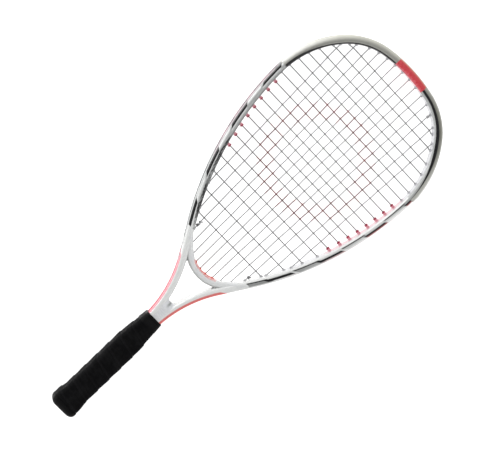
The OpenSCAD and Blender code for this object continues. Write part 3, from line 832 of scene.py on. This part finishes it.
paint = frame_paint()
bridge_paint = throat_paint()
bumper_material = bumper_plastic()
grey_plastic = moulded("grommet_plastic", (0.42, 0.42, 0.43), (0.52, 0.52, 0.53))
red_plastic = barrel_plastic()
orange_plastic = moulded("bridge_strip_plastic", (0.80, 0.06, 0.035), (0.72, 0.10, 0.05), (0.3, 0.45))
main_nylon = string_nylon("main_string_nylon", (0.34, 0.34, 0.35), (0.22, 0.22, 0.23), 0.32)
cross_nylon = string_nylon("cross_string_nylon", (0.15, 0.15, 0.155), (0.09, 0.09, 0.095), 0.36)
knot_nylon = string_nylon("knot_nylon", (0.12, 0.12, 0.13), (0.06, 0.06, 0.065), 0.4)
pale_knot_nylon = string_nylon("pale_knot_nylon", (0.38, 0.38, 0.39), (0.28, 0.28, 0.29), 0.4)
leather = grip_leather()
cap_plastic = rubber("cap_plastic", (0.004, 0.004, 0.0043), 0.5)
collar_rubber = rubber("collar_rubber", (0.003, 0.003, 0.003), 0.3)
tape_plastic = rubber("tape_plastic", (0.003, 0.003, 0.0033), 0.5)


def finish_piece(obj, slot, *nodes):
    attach(obj, "root")
    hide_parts(*nodes)


# ---- Frame tube ----

CORNER_STEPS = 6


def tube_section():
    out = [(-CHANNEL_DEPTH, 0.0), (-CHANNEL_DEPTH, CHANNEL_HALF - 0.3), (-CHANNEL_DEPTH + 0.3, CHANNEL_HALF)]
    out += [(-0.35, CHANNEL_HALF), (-0.1, CHANNEL_HALF + 0.1), (0.0, CHANNEL_HALF + 0.35)]
    out += corner(-TUBE_R, TUBE_D / 2 - TUBE_R, TUBE_R, 0, CORNER_STEPS)
    out += corner(TUBE_R - TUBE_W, TUBE_D / 2 - TUBE_R, TUBE_R, 90, CORNER_STEPS)
    out += [(-TUBE_W, 3.0), (-TUBE_W, 0.6)]
    return out


CHANNEL_POINTS = 5


def tube_girth(section):
    """Distance round from the channel's edge: 0 in the channel."""
    girth = []
    run = 0.0
    for k, p in enumerate(section):
        if k > CHANNEL_POINTS:
            run += math.dist(p, section[k - 1])
        girth.append(run)
    return girth


upper = tube_section()
upper_girth = tube_girth(upper)
whole = upper + [(u, -z) for u, z in reversed(upper[1:])]
whole_girth = upper_girth + upper_girth[:0:-1]
tube = Builder("girth")
tube.skin([tube.ring(section_at(p, d, whole), girth=whole_girth) for p, d, _ in both_ways(stations())])
finish_piece(tube.make("frame_tube_painted", paint), "frame", "frame_tube")


# ---- Bumper ----

BUMPER_TAPER = 7.0


def bumper_section():
    lip = TUBE_D / 2 + LIP_T
    out = [(-STRIP_FLOOR, 0.0), (-STRIP_FLOOR, 1.8), (BUMPER_T - 0.3, 1.8), (BUMPER_T, 2.1)]
    out += [(BUMPER_T, 3.9), (BUMPER_T - 0.25, 4.2), (BUMPER_T - 0.25, 4.7), (BUMPER_T, 5.0)]
    r = TUBE_R + LIP_T
    for k in range(CORNER_STEPS + 1):
        a = 90 * k / CORNER_STEPS
        out.append((-TUBE_R + (TUBE_R + BUMPER_T) * cos(a), TUBE_D / 2 - TUBE_R + r * sin(a)))
    out += [(-LIP_REACH + 0.35, lip), (-LIP_REACH + 0.1, lip - 0.12), (-LIP_REACH, lip - 0.35)]
    out.append((-LIP_REACH, TUBE_D / 2 - 0.2))
    return out


half_section = bumper_section()
bumper = Builder("reach")
rings = []
path = both_ways(stations(side_limit=BUMPER_END))
total = path[-1][2]
for p, d, s in path:
    # The ends thin out over their last few millimetres
    thin = 1 - 0.75 * smooth((abs(s) - total + BUMPER_TAPER) / BUMPER_TAPER)
    ring = []
    reach = []
    for sign, part in ((1, half_section), (-1, half_section[::-1])):
        for u, z in part:
            raised = max(z - TUBE_D / 2, 0.0)
            out = u * thin if u > 0 else u
            ring.append((p.x + d.x * out, p.y + d.y * out, sign * (z - raised * (1 - thin))))
            reach.append(BUMPER_T - u)
    rings.append(bumper.ring(ring, reach=reach))
bumper.skin(rings)


def barrel(builder, h, z, side, out, flare=0.0):
    """A grommet barrel from inside the tube wall to its rounded, open end."""
    inner_end = along_hole(h, TUBE_W + out)
    start = along_hole(h, TUBE_W - 1.4)
    run = (inner_end - start).length
    d = (inner_end - start) / run
    profile = [(0.0, BARREL_R), (run - out, BARREL_R)]
    profile += [(run - out * 0.5, BARREL_R - 0.08 + flare * 0.4), (run - 0.5, BARREL_R - 0.12 + flare)]
    profile += [(run - 0.18, BARREL_R - 0.2 + flare), (run, BARREL_R - 0.5 + flare)]
    profile += [(run - 0.05, BORE_R + 0.12), (run - 0.4, BORE_R), (run - 2.0, BORE_R)]
    rings = lathe(builder, (side * start.x, start.y, z), (side * d.x, d.y), profile, reach=-1.0)
    builder.skin(rings, capped=False)


for side in (-1, 1):
    for k in range(1, RED_CROSSES[0]):
        barrel(bumper, cross_hit(cross_y(k)), CROSS_Z, side, BARREL_OUT)
    for i in range(1, MAINS + 1):
        barrel(bumper, upper_hit(i), MAIN_Z, side, BARREL_OUT)
finish_piece(bumper.make("bumper_moulded", bumper_material), "bumper", "bumper_guard")


# ---- Grommet strips ----

STRIP_HALF = 2.3
STRIP_STEPS = 60
NO_END = 9.0


def cross_heading(k, shift):
    """The heading of the outer wall a little above or below a cross string."""
    return arc_heading(LAST, cross_hit(cross_y(k) + shift, 0)[0])


def strip(side, top, stop, cross_numbers, main_numbers, out, flare=0.0):
    """A strip in the channel from one heading to another, with its barrels."""
    built = Builder("end")
    half = STRIP_HALF
    ridge = -STRIP_FLOOR - 0.25
    section = [(-CHANNEL_DEPTH - 0.1, -half), (-STRIP_FLOOR - 0.2, -half), (-STRIP_FLOOR, -half + 0.25)]
    section += [(-STRIP_FLOOR, -0.5), (ridge, -0.25), (ridge, 0.25), (-STRIP_FLOOR, 0.5)]
    section += [(-STRIP_FLOOR, half - 0.25), (-STRIP_FLOOR - 0.2, half), (-CHANNEL_DEPTH - 0.1, half)]
    rings = []
    for k in range(STRIP_STEPS + 1):
        d = unit(top + (stop - top) * k / STRIP_STEPS)
        p = CENTRES[LAST] + SIDE[0] * d
        rings.append(built.ring(section_at(p, d, section, side), end=NO_END))
    built.skin(rings)
    for k in cross_numbers:
        barrel(built, cross_hit(cross_y(k)), CROSS_Z, side, out, flare)
    for i in main_numbers:
        barrel(built, lower_hit(i), MAIN_Z, side, out)
    return built


first, last = RED_CROSSES
for side, word in ((-1, "left"), (1, "right")):
    reds = range(first, last + 1)
    red = strip(side, cross_heading(first, 4.5), cross_heading(last, -5.0), reds, (), RED_BARREL_OUT, 0.6)
    finish_piece(red.make("side_strip_" + word, red_plastic), "side_grommets", "side_grommet_strip_" + word)
    greys = range(last + 1, CROSSES + 1)
    grey = strip(side, cross_heading(last + 1, 6.0), SIDE_END - 0.4, greys, (6, 7), BARREL_OUT)
    finish_piece(grey.make("lower_strip_" + word, grey_plastic), "grommets", "lower_grommet_strip_" + word)

arm = Builder()
for side in (-1, 1):
    for i in range(BRIDGE_MAINS + 1, 6):
        h = lower_hit(i)
        barrel(arm, h, MAIN_Z, side, BARREL_OUT if i == 5 else 0.3)
        start = along_hole(h, CHANNEL_DEPTH)
        d = unit(h[1])
        head = [(0.0, 2.3), (1.6, 2.3), (2.3, 2.1), (2.75, 1.6), (2.6, 0.9), (1.8, 0.85)]
        arm.skin(lathe(arm, (side * start.x, start.y, MAIN_Z), (side * d.x, d.y), head))
finish_piece(arm.make("arm_grommets_moulded", grey_plastic), "grommets", "arm_grommets")


# ---- Bridge and web ----

SADDLE_TOP = 243.0
SADDLE_DEPTH = TUBE_D / 2 + 0.25


def bridge_path():
    """The right half from the middle out: (point, way off the strings, how far along the saddle, run)."""
    radius = BRIDGE_RADIUS + TUBE_W / 2
    centre = Vector((0.0, BRIDGE_Y + BRIDGE_RADIUS))
    points = []
    arc_steps = 20
    for k in range(arc_steps + 1):
        points.append((centre + radius * unit(180 - BRIDGE_SLOPE * k / arc_steps), 0.0))
    along = Vector((cos(BRIDGE_SLOPE), sin(BRIDGE_SLOPE)))
    start = points[-1][0] + 9.0 * along
    arm_way = Vector((-cos(SIDE_END), sin(SIDE_END)))
    arm_low = arm_end(0) - TUBE_W / 2 * unit(SIDE_END)
    gap_x = arm_low.x - start.x
    gap_y = arm_low.y - start.y
    slant = along.x * arm_way.y - along.y * arm_way.x
    turn = (gap_x * arm_way.y - gap_y * arm_way.x) / slant
    bend = start + turn * along
    finish = arm_low + (SADDLE_TOP - arm_low.y) / arm_way.y * arm_way
    for k in range(1, 6):
        points.append((points[arc_steps][0] + 9.0 * along * k / 6, 0.0))
    saddle_steps = 26
    for k in range(saddle_steps + 1):
        t = k / saddle_steps
        points.append(((1 - t) ** 2 * start + 2 * t * (1 - t) * bend + t * t * finish, t))
    out, run = [], 0.0
    for k, (p, t) in enumerate(points):
        way = (points[min(k + 1, len(points) - 1)][0] - points[max(k - 1, 0)][0]).normalized()
        if k == 0:
            way = Vector((1.0, 0.0))
        else:
            run += (p - points[k - 1][0]).length
        out.append((p, Vector((way.y, -way.x)), t, run))
    return out


bridge = Builder("girth", "run", "crease")
rings = []
half_path = bridge_path()
left_path = [(Vector((-p.x, p.y)), Vector((-d.x, d.y)), t, -run) for p, d, t, run in half_path[:0:-1]]
for p, d, t, run in left_path + half_path:
    # The ends climb over the arms, then thin out to a point
    deep = BRIDGE_D / 2 + (SADDLE_DEPTH - BRIDGE_D / 2) * smooth(t * 2)
    point = 1 - smooth((t - 0.45) / 0.55)
    half = 0.25 + (TUBE_W / 2 - 0.25) * point
    r = min(3.3, half * 0.79)
    deep -= 0.5 * smooth((t - 0.8) / 0.2)
    section = corner(half - r, deep - r, r, 0, 7) + corner(r - half, deep - r, r, 90, 7)
    section += [(-u, -z) for u, z in section]
    rings.append(bridge.ring(section_at(p, d, section), girth=[u * (1 - t) for u, _ in section], run=run))
bridge.skin(rings)
finish_piece(bridge.make("bridge_painted", bridge_paint), "bridge", "throat_bridge")

strip_line = Builder()
rings = []
centre = Vector((0.0, BRIDGE_Y + BRIDGE_RADIUS))
sweep_half = 27.0
n = 48
for k in range(n + 1):
    h = 180 - sweep_half + 2 * sweep_half * k / n
    end = 1 - 0.8 * smooth((abs(h - 180) - sweep_half + 3) / 3)
    d = unit(h)
    half = 2.35
    t = 0.55 * end
    section = [(0.3, -half), (0.3, half), (-t + 0.2, half), (-t, half - 0.3)]
    section += [(-t, 0.3 - half), (-t + 0.2, -half)]
    p = centre + BRIDGE_RADIUS * d
    rings.append(strip_line.ring(section_at(p, d, section)))
strip_line.skin(rings)
for side in (-1, 1):
    for i in range(1, BRIDGE_MAINS + 1):
        top = bridge_hit(i, BRIDGE_RADIUS - 1.1)
        low = bridge_hit(i, BRIDGE_RADIUS + 1)
        d = (top - low).normalized()
        run = (top - low).length
        profile = [(0.0, BARREL_R), (run - 0.5, BARREL_R - 0.1), (run - 0.1, BARREL_R - 0.35)]
        profile += [(run, BORE_R + 0.1), (run - 0.5, BORE_R)]
        turned = lathe(strip_line, (side * low.x, low.y, MAIN_Z), (side * d.x, d.y), profile)
        strip_line.skin(turned, capped=False)
finish_piece(strip_line.make("bridge_strip_moulded", orange_plastic), "bridge_strip", "bridge_grommet_strip")


def web():
    """The filler between the arms: flush at the shaft, dished below the opening, with a hollow top edge."""
    built = Builder("girth", "run", "crease")
    low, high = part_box("throat_web")
    top = high.y / MM
    bottom = low.y / MM
    rows = 48
    cols = 24
    rings = []
    for r in range(rows + 1):
        y = bottom + (top - bottom) * r / rows
        wall = SHAFT_HALF - TUBE_W
        if y > LEG_TOP:
            wall = ARM_CENTRE.x - math.sqrt((ARM_RADIUS + TUBE_W) ** 2 - (y - ARM_CENTRE.y) ** 2)
        half = wall + 3.0
        near_top = smooth((y - top + 14) / 14.0)
        front, back, crease_f = [], [], []
        for c in range(cols + 1):
            t = 2 * c / cols - 1
            across_gap = min(abs(half * t) / max(wall, 0.1), 1.0)
            hollow = 2.5 * math.sqrt(1 - across_gap**2) * near_top
            dish = (1 - t * t) * (0.1 + 1.9 * near_top)
            roll = 1.8 * smooth((y - top + 2.5) / 2.5) ** 2
            z = TUBE_D / 2 + 0.02 - dish - roll
            front.append((half * t, y - hollow, z))
            back.append((half * t, y - hollow, -z))
            shade = math.exp(-((half * t / 1.5) ** 2)) * smooth((y - top + 11) / 8.0)
            crease_f.append(0.8 * shade)
        rings.append(built.ring(front + back[::-1], crease=crease_f + crease_f[::-1]))
    built.skin(rings)
    return built.make("web_painted", bridge_paint, 60.0)


finish_piece(web(), "bridge", "throat_web")


# ---- Strings ----

def tube_along(builder, points, radius, sides=10):
    """A round string along points in millimetres."""
    rings, run = [], 0.0
    n = len(points)
    for k, p in enumerate(points):
        a = points[max(k - 1, 0)]
        b = points[min(k + 1, n - 1)]
        d = (Vector(b) - Vector(a)).normalized()
        if k:
            run += (Vector(p) - Vector(points[k - 1])).length
        side_dir = d.cross(Vector((0, 0, 1))).normalized()
        up = side_dir.cross(d)
        ring, turns = [], []
        for s in range(sides):
            t = 360 * s / sides
            ring.append(Vector(p) + radius * (cos(t) * side_dir + sin(t) * up))
            turns.append(s / sides if s <= sides / 2 else 1 - s / sides)
        rings.append(builder.ring(ring, run=run, turn=turns))
    builder.skin(rings)


WEAVE_STEPS = 7


def woven(anchors):
    """Points through anchors (x, y, z), eased so that the string bends over and under."""
    out = []
    for a, b in zip(anchors, anchors[1:]):
        for k in range(WEAVE_STEPS):
            t = k / WEAVE_STEPS
            e = (1 - math.cos(math.pi * t)) / 2
            out.append((a[0] + (b[0] - a[0]) * t, a[1] + (b[1] - a[1]) * t, a[2] + (b[2] - a[2]) * e))
    out.append(anchors[-1])
    return out


WEAVE = 0.6


def over(column, k):
    """+1 where the main passes in front of the cross."""
    return 1 if (column + k) % 2 == 0 else -1


def column_of(side, i):
    """A main string's number, counted from the left."""
    return MAINS + side * i - (side > 0)


mains = Builder("run", "turn")
main_index = [(side, i) for side in (-1, 1) for i in range(1, MAINS + 1)]
for side, i in main_index:
    column = column_of(side, i)
    top = upper_hit(i)
    low = lower_hit(i)
    head = along_hole(top, TUBE_W + 0.4)
    head_in = along_hole(top, STRIP_FLOOR)
    if i <= BRIDGE_MAINS:
        foot = bridge_hit(i, BRIDGE_RADIUS - 1.0)
        foot_in = bridge_hit(i, BRIDGE_RADIUS + TUBE_W - 1.9)
    else:
        foot = along_hole(low, TUBE_W + 0.4)
        foot_in = along_hole(low, STRIP_FLOOR)
    anchors = [(head_in.x, head_in.y, MAIN_Z), (head.x, head.y, MAIN_Z)]
    for k in range(1, CROSSES + 1):
        y = cross_y(k)
        if foot.y + 2 < y < head.y - 2:
            anchors.append((main_x(i, y), y, WEAVE * over(column, k)))
    anchors += [(foot.x, foot.y, MAIN_Z), (foot_in.x, foot_in.y, MAIN_Z)]
    tube_along(mains, [(side * x, y, z) for x, y, z in woven(anchors)], STRING_R)
finish_piece(mains.make("main_strings_woven", main_nylon), "main_string", "main_strings")

crosses = Builder("run", "turn")
for k in range(1, CROSSES + 1):
    y = cross_y(k)
    h = cross_hit(y)
    out = RED_BARREL_OUT if RED_CROSSES[0] <= k <= RED_CROSSES[1] else BARREL_OUT
    end = along_hole(h, TUBE_W + out)
    end_in = along_hole(h, STRIP_FLOOR)
    anchors = [(-end_in.x, end_in.y, CROSS_Z), (-end.x, end.y, CROSS_Z)]
    for side, i in sorted(main_index, key=lambda s: s[0] * s[1]):
        x = side * main_x(i, y)
        column = column_of(side, i)
        if abs(x) < end.x - 1.5:
            anchors.append((x, y, -WEAVE * over(column, k)))
    anchors += [(end.x, end.y, CROSS_Z), (end_in.x, end_in.y, CROSS_Z)]
    tube_along(crosses, woven(anchors), STRING_R)
finish_piece(crosses.make("cross_strings_woven", cross_nylon), "cross_string", "cross_strings")


def loop_points(a, b, z, dip_a, dip_b):
    """A run outside the frame, from inside one hole to inside the next, rounded where it bends."""
    pts = [dip_a, a, b, dip_b]
    out = []
    for k in range(len(pts) - 1):
        p, q = pts[k], pts[k + 1]
        for t in (0.0, 0.12, 0.5, 0.88):
            m = p + (q - p) * t
            out.append((m.x, m.y, z))
    out.append((pts[-1].x, pts[-1].y, z))
    return out


def flipped(v, side):
    return Vector((side * v.x, v.y))


loops = Builder("run", "turn")


LOOP_R = STRING_R * 0.98


def add_loop(builder, h1, h2, side1, side2, z):
    (a, dip_a), (b, dip_b) = [
        [flipped(along_hole(h, inset), side) for inset in (0.35, 2.2)]
        for h, side in ((h1, side1), (h2, side2))
    ]
    tube_along(builder, loop_points(a, b, z, dip_a, dip_b), LOOP_R)


add_loop(loops, upper_hit(1), upper_hit(1), -1, 1, MAIN_Z)
for side in (-1, 1):
    for i in (2, 4, 6):
        add_loop(loops, upper_hit(i), upper_hit(i + 1), side, side, MAIN_Z)
    for i in (3, 5):
        add_loop(loops, lower_hit(i), lower_hit(i + 1), side, side, MAIN_Z)
    (a, dip_a), (b, dip_b) = [
        [flipped(bridge_hit(i, BRIDGE_RADIUS + TUBE_W - inset), side) for inset in (0.4, 2.5)] for i in (1, 2)
    ]
    tube_along(loops, loop_points(a, b, MAIN_Z, dip_a, dip_b), LOOP_R)
finish_piece(loops.make("main_loops", main_nylon), "main_string", "main_string_loops")

side_loops = Builder("run", "turn")
for k in range(1, CROSSES):
    side = 1 if k % 2 == 0 else -1
    add_loop(side_loops, cross_hit(cross_y(k)), cross_hit(cross_y(k + 1)), side, side, CROSS_Z)
finish_piece(side_loops.make("cross_loops", cross_nylon), "cross_string", "cross_string_loops")


KNOT_R = 1.15
TURN_STEPS = 14


def knot(builder, x, y, heading, turns=3):
    """A tight tie-off: turns of string round the main, with a short cut tail."""
    points = []
    steps = TURN_STEPS * turns
    for k in range(steps + 1):
        a = 360 * k / TURN_STEPS
        r = KNOT_R + 0.1 * math.sin(k * 0.7)
        d = -1.1 + 2.2 * k / steps
        points.append((x + r * cos(a) + d * sin(heading), y + d * cos(heading), MAIN_Z + r * sin(a)))
    last = points[-1]
    points += [(last[0] + 0.5, last[1] + 0.6, last[2] + 0.3), (last[0] + 0.8, last[1] + 1.4, last[2] + 0.4)]
    tube_along(builder, points, STRING_R * 0.9, sides=8)
    core = [(0, 0.9), (0.3, 1.4), (0.8, 1.65), (1.3, 1.7), (1.8, 1.6), (2.2, 1.3), (2.4, 0.9)]
    base = (x - 1.2 * sin(heading), y - 1.2 * cos(heading), MAIN_Z)
    builder.skin(lathe(builder, base, (sin(heading), cos(heading)), core, run=0.0, turn=0.0))


main_knots = Builder("run", "turn")
knot_y = lower_hit(5)[0].y + 5.4
for side in (-1, 1):
    knot(main_knots, side * main_x(5, knot_y), knot_y, side * main_heading(5))
finish_piece(main_knots.make("main_knots_tied", knot_nylon), "cross_string", "main_string_knots")

cross_knots = Builder("run", "turn")
top_y = upper_hit(5)[0].y - 4.3
low_y = lower_hit(5)[0].y + 9.6
knot(cross_knots, main_x(5, top_y), top_y, main_heading(5))
knot(cross_knots, -main_x(5, low_y), low_y, -main_heading(5), turns=2)
finish_piece(cross_knots.make("cross_knots_tied", pale_knot_nylon), "cross_string", "cross_string_knots")


# ---- Grip ----

GRIP_HALF = (14.3, 12.8)
FLARE_HALF = (16.0, 14.2)
TOP_HALF = (10.5, 10.1)
COLLAR_H = 3.2
CAP_END = 8.0
BUTT_ROUND = 6.6
TAPER = 40.0
WRAP_PITCH = 17.5
BEVEL = 0.62
SQUARENESS = 22.0
AROUND = 128


def grip_half(y):
    """Half width and half thickness of the grip at a height."""
    if y < 14:
        a, b = FLARE_HALF
    elif y < 26:
        t = smooth((y - 13) / 13)
        a, b = (FLARE_HALF[k] + (GRIP_HALF[k] - FLARE_HALF[k]) * t for k in (0, 1))
    elif y < GRIP_TOP - TAPER:
        a, b = GRIP_HALF
    else:
        t = (y - GRIP_TOP + TAPER) / TAPER
        t = 0.55 * t + 0.45 * smooth(t)
        a, b = (GRIP_HALF[k] + (TOP_HALF[k] - GRIP_HALF[k]) * t for k in (0, 1))
    if y < BUTT_ROUND:
        cut = BUTT_ROUND - math.sqrt(max(BUTT_ROUND**2 - (BUTT_ROUND - y) ** 2, 0.0))
        a, b = a - cut, b - cut
    return a, b


def grip_point(angle, y, inset):
    """A point of the rounded, eight-sided grip, at an inset."""
    a, b = grip_half(y)
    c = (a + b) * BEVEL - inset
    a, b = a - inset, b - inset
    ca, sa = abs(cos(angle)), abs(sin(angle))
    cd, sd = abs(cos(angle - 45)), abs(sin(angle - 45))
    r = sum(q**SQUARENESS for q in (ca / a, sa / b, cd / c, sd / c)) ** (-1 / SQUARENESS)
    return r * cos(angle), y, r * sin(angle)


def grip_ring(y, inset):
    return [grip_point(360 * k / AROUND, y, inset) for k in range(AROUND)]


def wrap_piece():
    built = Builder("wrap", "turn")
    begin, end = CAP_END + 0.3, GRIP_TOP - COLLAR_H
    rows = 300
    rings = []
    for r in range(rows + 1):
        y = begin + (end - begin) * r / rows
        ring, wraps, turns = [], [], []
        for k in range(AROUND):
            angle = 360 * k / AROUND
            t = (y - begin) / WRAP_PITCH - k / AROUND
            f = t - math.floor(t)
            # Each turn laps over the one below: it rises to its upper edge, then steps down
            lift = 0.16 + 0.5 * smooth(f) if f < 0.93 else 0.66 - 0.62 * smooth((f - 0.93) / 0.07)
            soft = noise.noise(Vector((12 * cos(angle), y, 12 * sin(angle))) * 0.16) * 0.12
            inset = 0.78 - lift - soft * 0.6
            ring.append(grip_point(angle, y, max(inset, 0.02)))
            wraps.append(f)
            turns.append(2 * abs(k / AROUND - 0.5))
        rings.append(built.ring(ring, wrap=wraps, turn=turns))
    rings.insert(0, built.ring(grip_ring(begin, 1.5)))
    rings.append(built.ring(grip_ring(end, 1.5)))
    built.skin(rings)
    return built.make("grip_wrap_spiral", leather, 60.0)


finish_piece(wrap_piece(), "wrap", "grip_wrap")


def ring_piece(name, rows, material):
    """A closed skin from (height, inset) rows round the grip."""
    built = Builder()
    built.skin([built.ring(grip_ring(y, inset)) for y, inset in rows])
    return built.make(name, material, 50.0)


cap_rows = [(1.1, 8.2), (0.9, 7.9), (0.25, 7.6), (0.0, 7.2), (0.0, 3.0), (0.0, 0.6)]
cap_rows += [(BUTT_ROUND * (1 - cos(a)), 0.02) for a in (15, 30, 45, 60, 75, 90)]
cap_rows += [(6.75, 0.02), (6.9, 0.3), (7.1, 0.3), (7.25, 0.02)]
cap_rows += [(CAP_END - 0.3, 0.02), (CAP_END, 0.3), (CAP_END, 1.8), (22.0, 1.9), (30.0, 2.0)]
finish_piece(ring_piece("butt_cap_moulded", cap_rows, cap_plastic), "cap", "butt_cap")

tape_top = GRIP_TOP - COLLAR_H
tape_rows = [(tape_top - 9.0, 0.9), (tape_top - 9.0, 0.05), (tape_top - 8.7, -0.2), (tape_top - 4.6, -0.28)]
tape_rows += [(tape_top - 4.4, -0.12), (tape_top - 0.3, -0.2), (tape_top, 0.0), (tape_top, 0.9)]
finish_piece(ring_piece("finishing_tape_wound", tape_rows, tape_plastic), "tape", "finishing_tape")

collar_rows = [(tape_top, 1.2), (tape_top, -0.05), (tape_top + 0.5, -0.3), (GRIP_TOP - 1.7, -0.25)]
collar_rows += [(GRIP_TOP - 1.4, -0.05), (GRIP_TOP - 1.1, -0.2), (GRIP_TOP - 0.3, 0.1)]
collar_rows += [(GRIP_TOP, 0.6), (GRIP_TOP, 2.2)]
finish_piece(ring_piece("collar_moulded", collar_rows, collar_rubber), "collar", "grip_collar")

# ---- Inner parts keep their CAD shape, with their own materials ----

inner = {"pallet_front": wood(), "pallet_screws": steel()}
inner["pallet_back"] = inner["pallet_front"]
inner["butt_cap_tacks"] = inner["pallet_screws"]
for name, material in inner.items():
    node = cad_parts[name]
    node.data.materials.clear()
    node.data.materials.append(material)

# ---- Floor, light and camera ----

FLOOR_GLOW = 0.7
floor_z = cad_low.z - 0.0005
bpy.ops.mesh.primitive_plane_add(size=12, location=(0, 0.25, floor_z))
floor = bpy.context.object
floor.name = "floor"
f = Nodes("floor_paper")
f.set(Base_Color=f.mix(f.noise(60.0), (0.90, 0.90, 0.90), (0.92, 0.92, 0.92)), Roughness=0.9)
f.set(Specular_IOR_Level=0.1, Emission_Color=(1.0, 1.0, 1.0), Emission_Strength=FLOOR_GLOW)
floor.data.materials.append(f.material)
floor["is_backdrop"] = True

# Bright round the horizon and dimmer overhead, so that black paint stays black
world = bpy.data.worlds.new("studio")
world.use_nodes = True
sky = world.node_tree
place = sky.nodes.new("ShaderNodeTexCoord")
split = sky.nodes.new("ShaderNodeSeparateXYZ")
fade = sky.nodes.new("ShaderNodeMapRange")
sky.links.new(place.outputs["Generated"], split.inputs[0])
sky.links.new(split.outputs[2], fade.inputs["Value"])
for socket, value in zip(list(fade.inputs)[1:5], (0.1, 0.95, 1.0, 0.3)):
    socket.default_value = value
sky.links.new(fade.outputs[0], sky.nodes["Background"].inputs["Strength"])
sky.nodes["Background"].inputs["Color"].default_value = (1.0, 1.0, 1.0, 1.0)
bpy.context.scene.world = world

AXIS_ANGLE = 43.84
TILT = 12.0
DISTANCE = 2.0
VIEW_WIDTH = 0.5462
AIM_RIGHT = 0.0153
AIM_UP = 0.0150

towards = Vector((-sin(TILT), 0.0, cos(TILT)))
across = Vector((cos(TILT), 0.0, sin(TILT)))
along = Vector((0.0, 1.0, 0.0))
image_right = cos(AXIS_ANGLE) * along + sin(AXIS_ANGLE) * across
image_up = sin(AXIS_ANGLE) * along - cos(AXIS_ANGLE) * across
middle = Vector((0.0, cad_high.y / 2, 0.0))
target = middle + AIM_RIGHT * image_right + AIM_UP * image_up

camera_data = bpy.data.cameras.new("camera")
camera = bpy.data.objects.new("camera", camera_data)
bpy.context.collection.objects.link(camera)
facing = Matrix((image_right, image_up, towards)).transposed().to_4x4()
camera.matrix_world = Matrix.Translation(target + DISTANCE * towards) @ facing
camera_data.sensor_width = 36.0
camera_data.lens = camera_data.sensor_width * DISTANCE / VIEW_WIDTH
camera_data.clip_end = 50.0
bpy.context.scene.camera = camera


def soft_light(name, direction, size, power, distance=1.6):
    """A big square light that shines on the racket's middle from a direction."""
    data = bpy.data.lights.new(name, "AREA")
    data.shape = "SQUARE"
    data.size = size
    data.energy = power
    lamp = bpy.data.objects.new(name, data)
    bpy.context.collection.objects.link(lamp)
    d = direction.normalized()
    lamp.location = middle + distance * d
    lamp.rotation_mode = "QUATERNION"
    lamp.rotation_quaternion = (-d).to_track_quat("-Z", "Y")


soft_light("key", towards + 0.9 * image_up - 0.9 * image_right, 1.1, 14.0)
soft_light("fill", towards - 0.5 * image_up + 1.2 * image_right, 1.6, 7.0, 1.9)

scene = bpy.context.scene
scene.view_settings.view_transform = "Standard"
scene.view_settings.look = "None"

low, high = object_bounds()
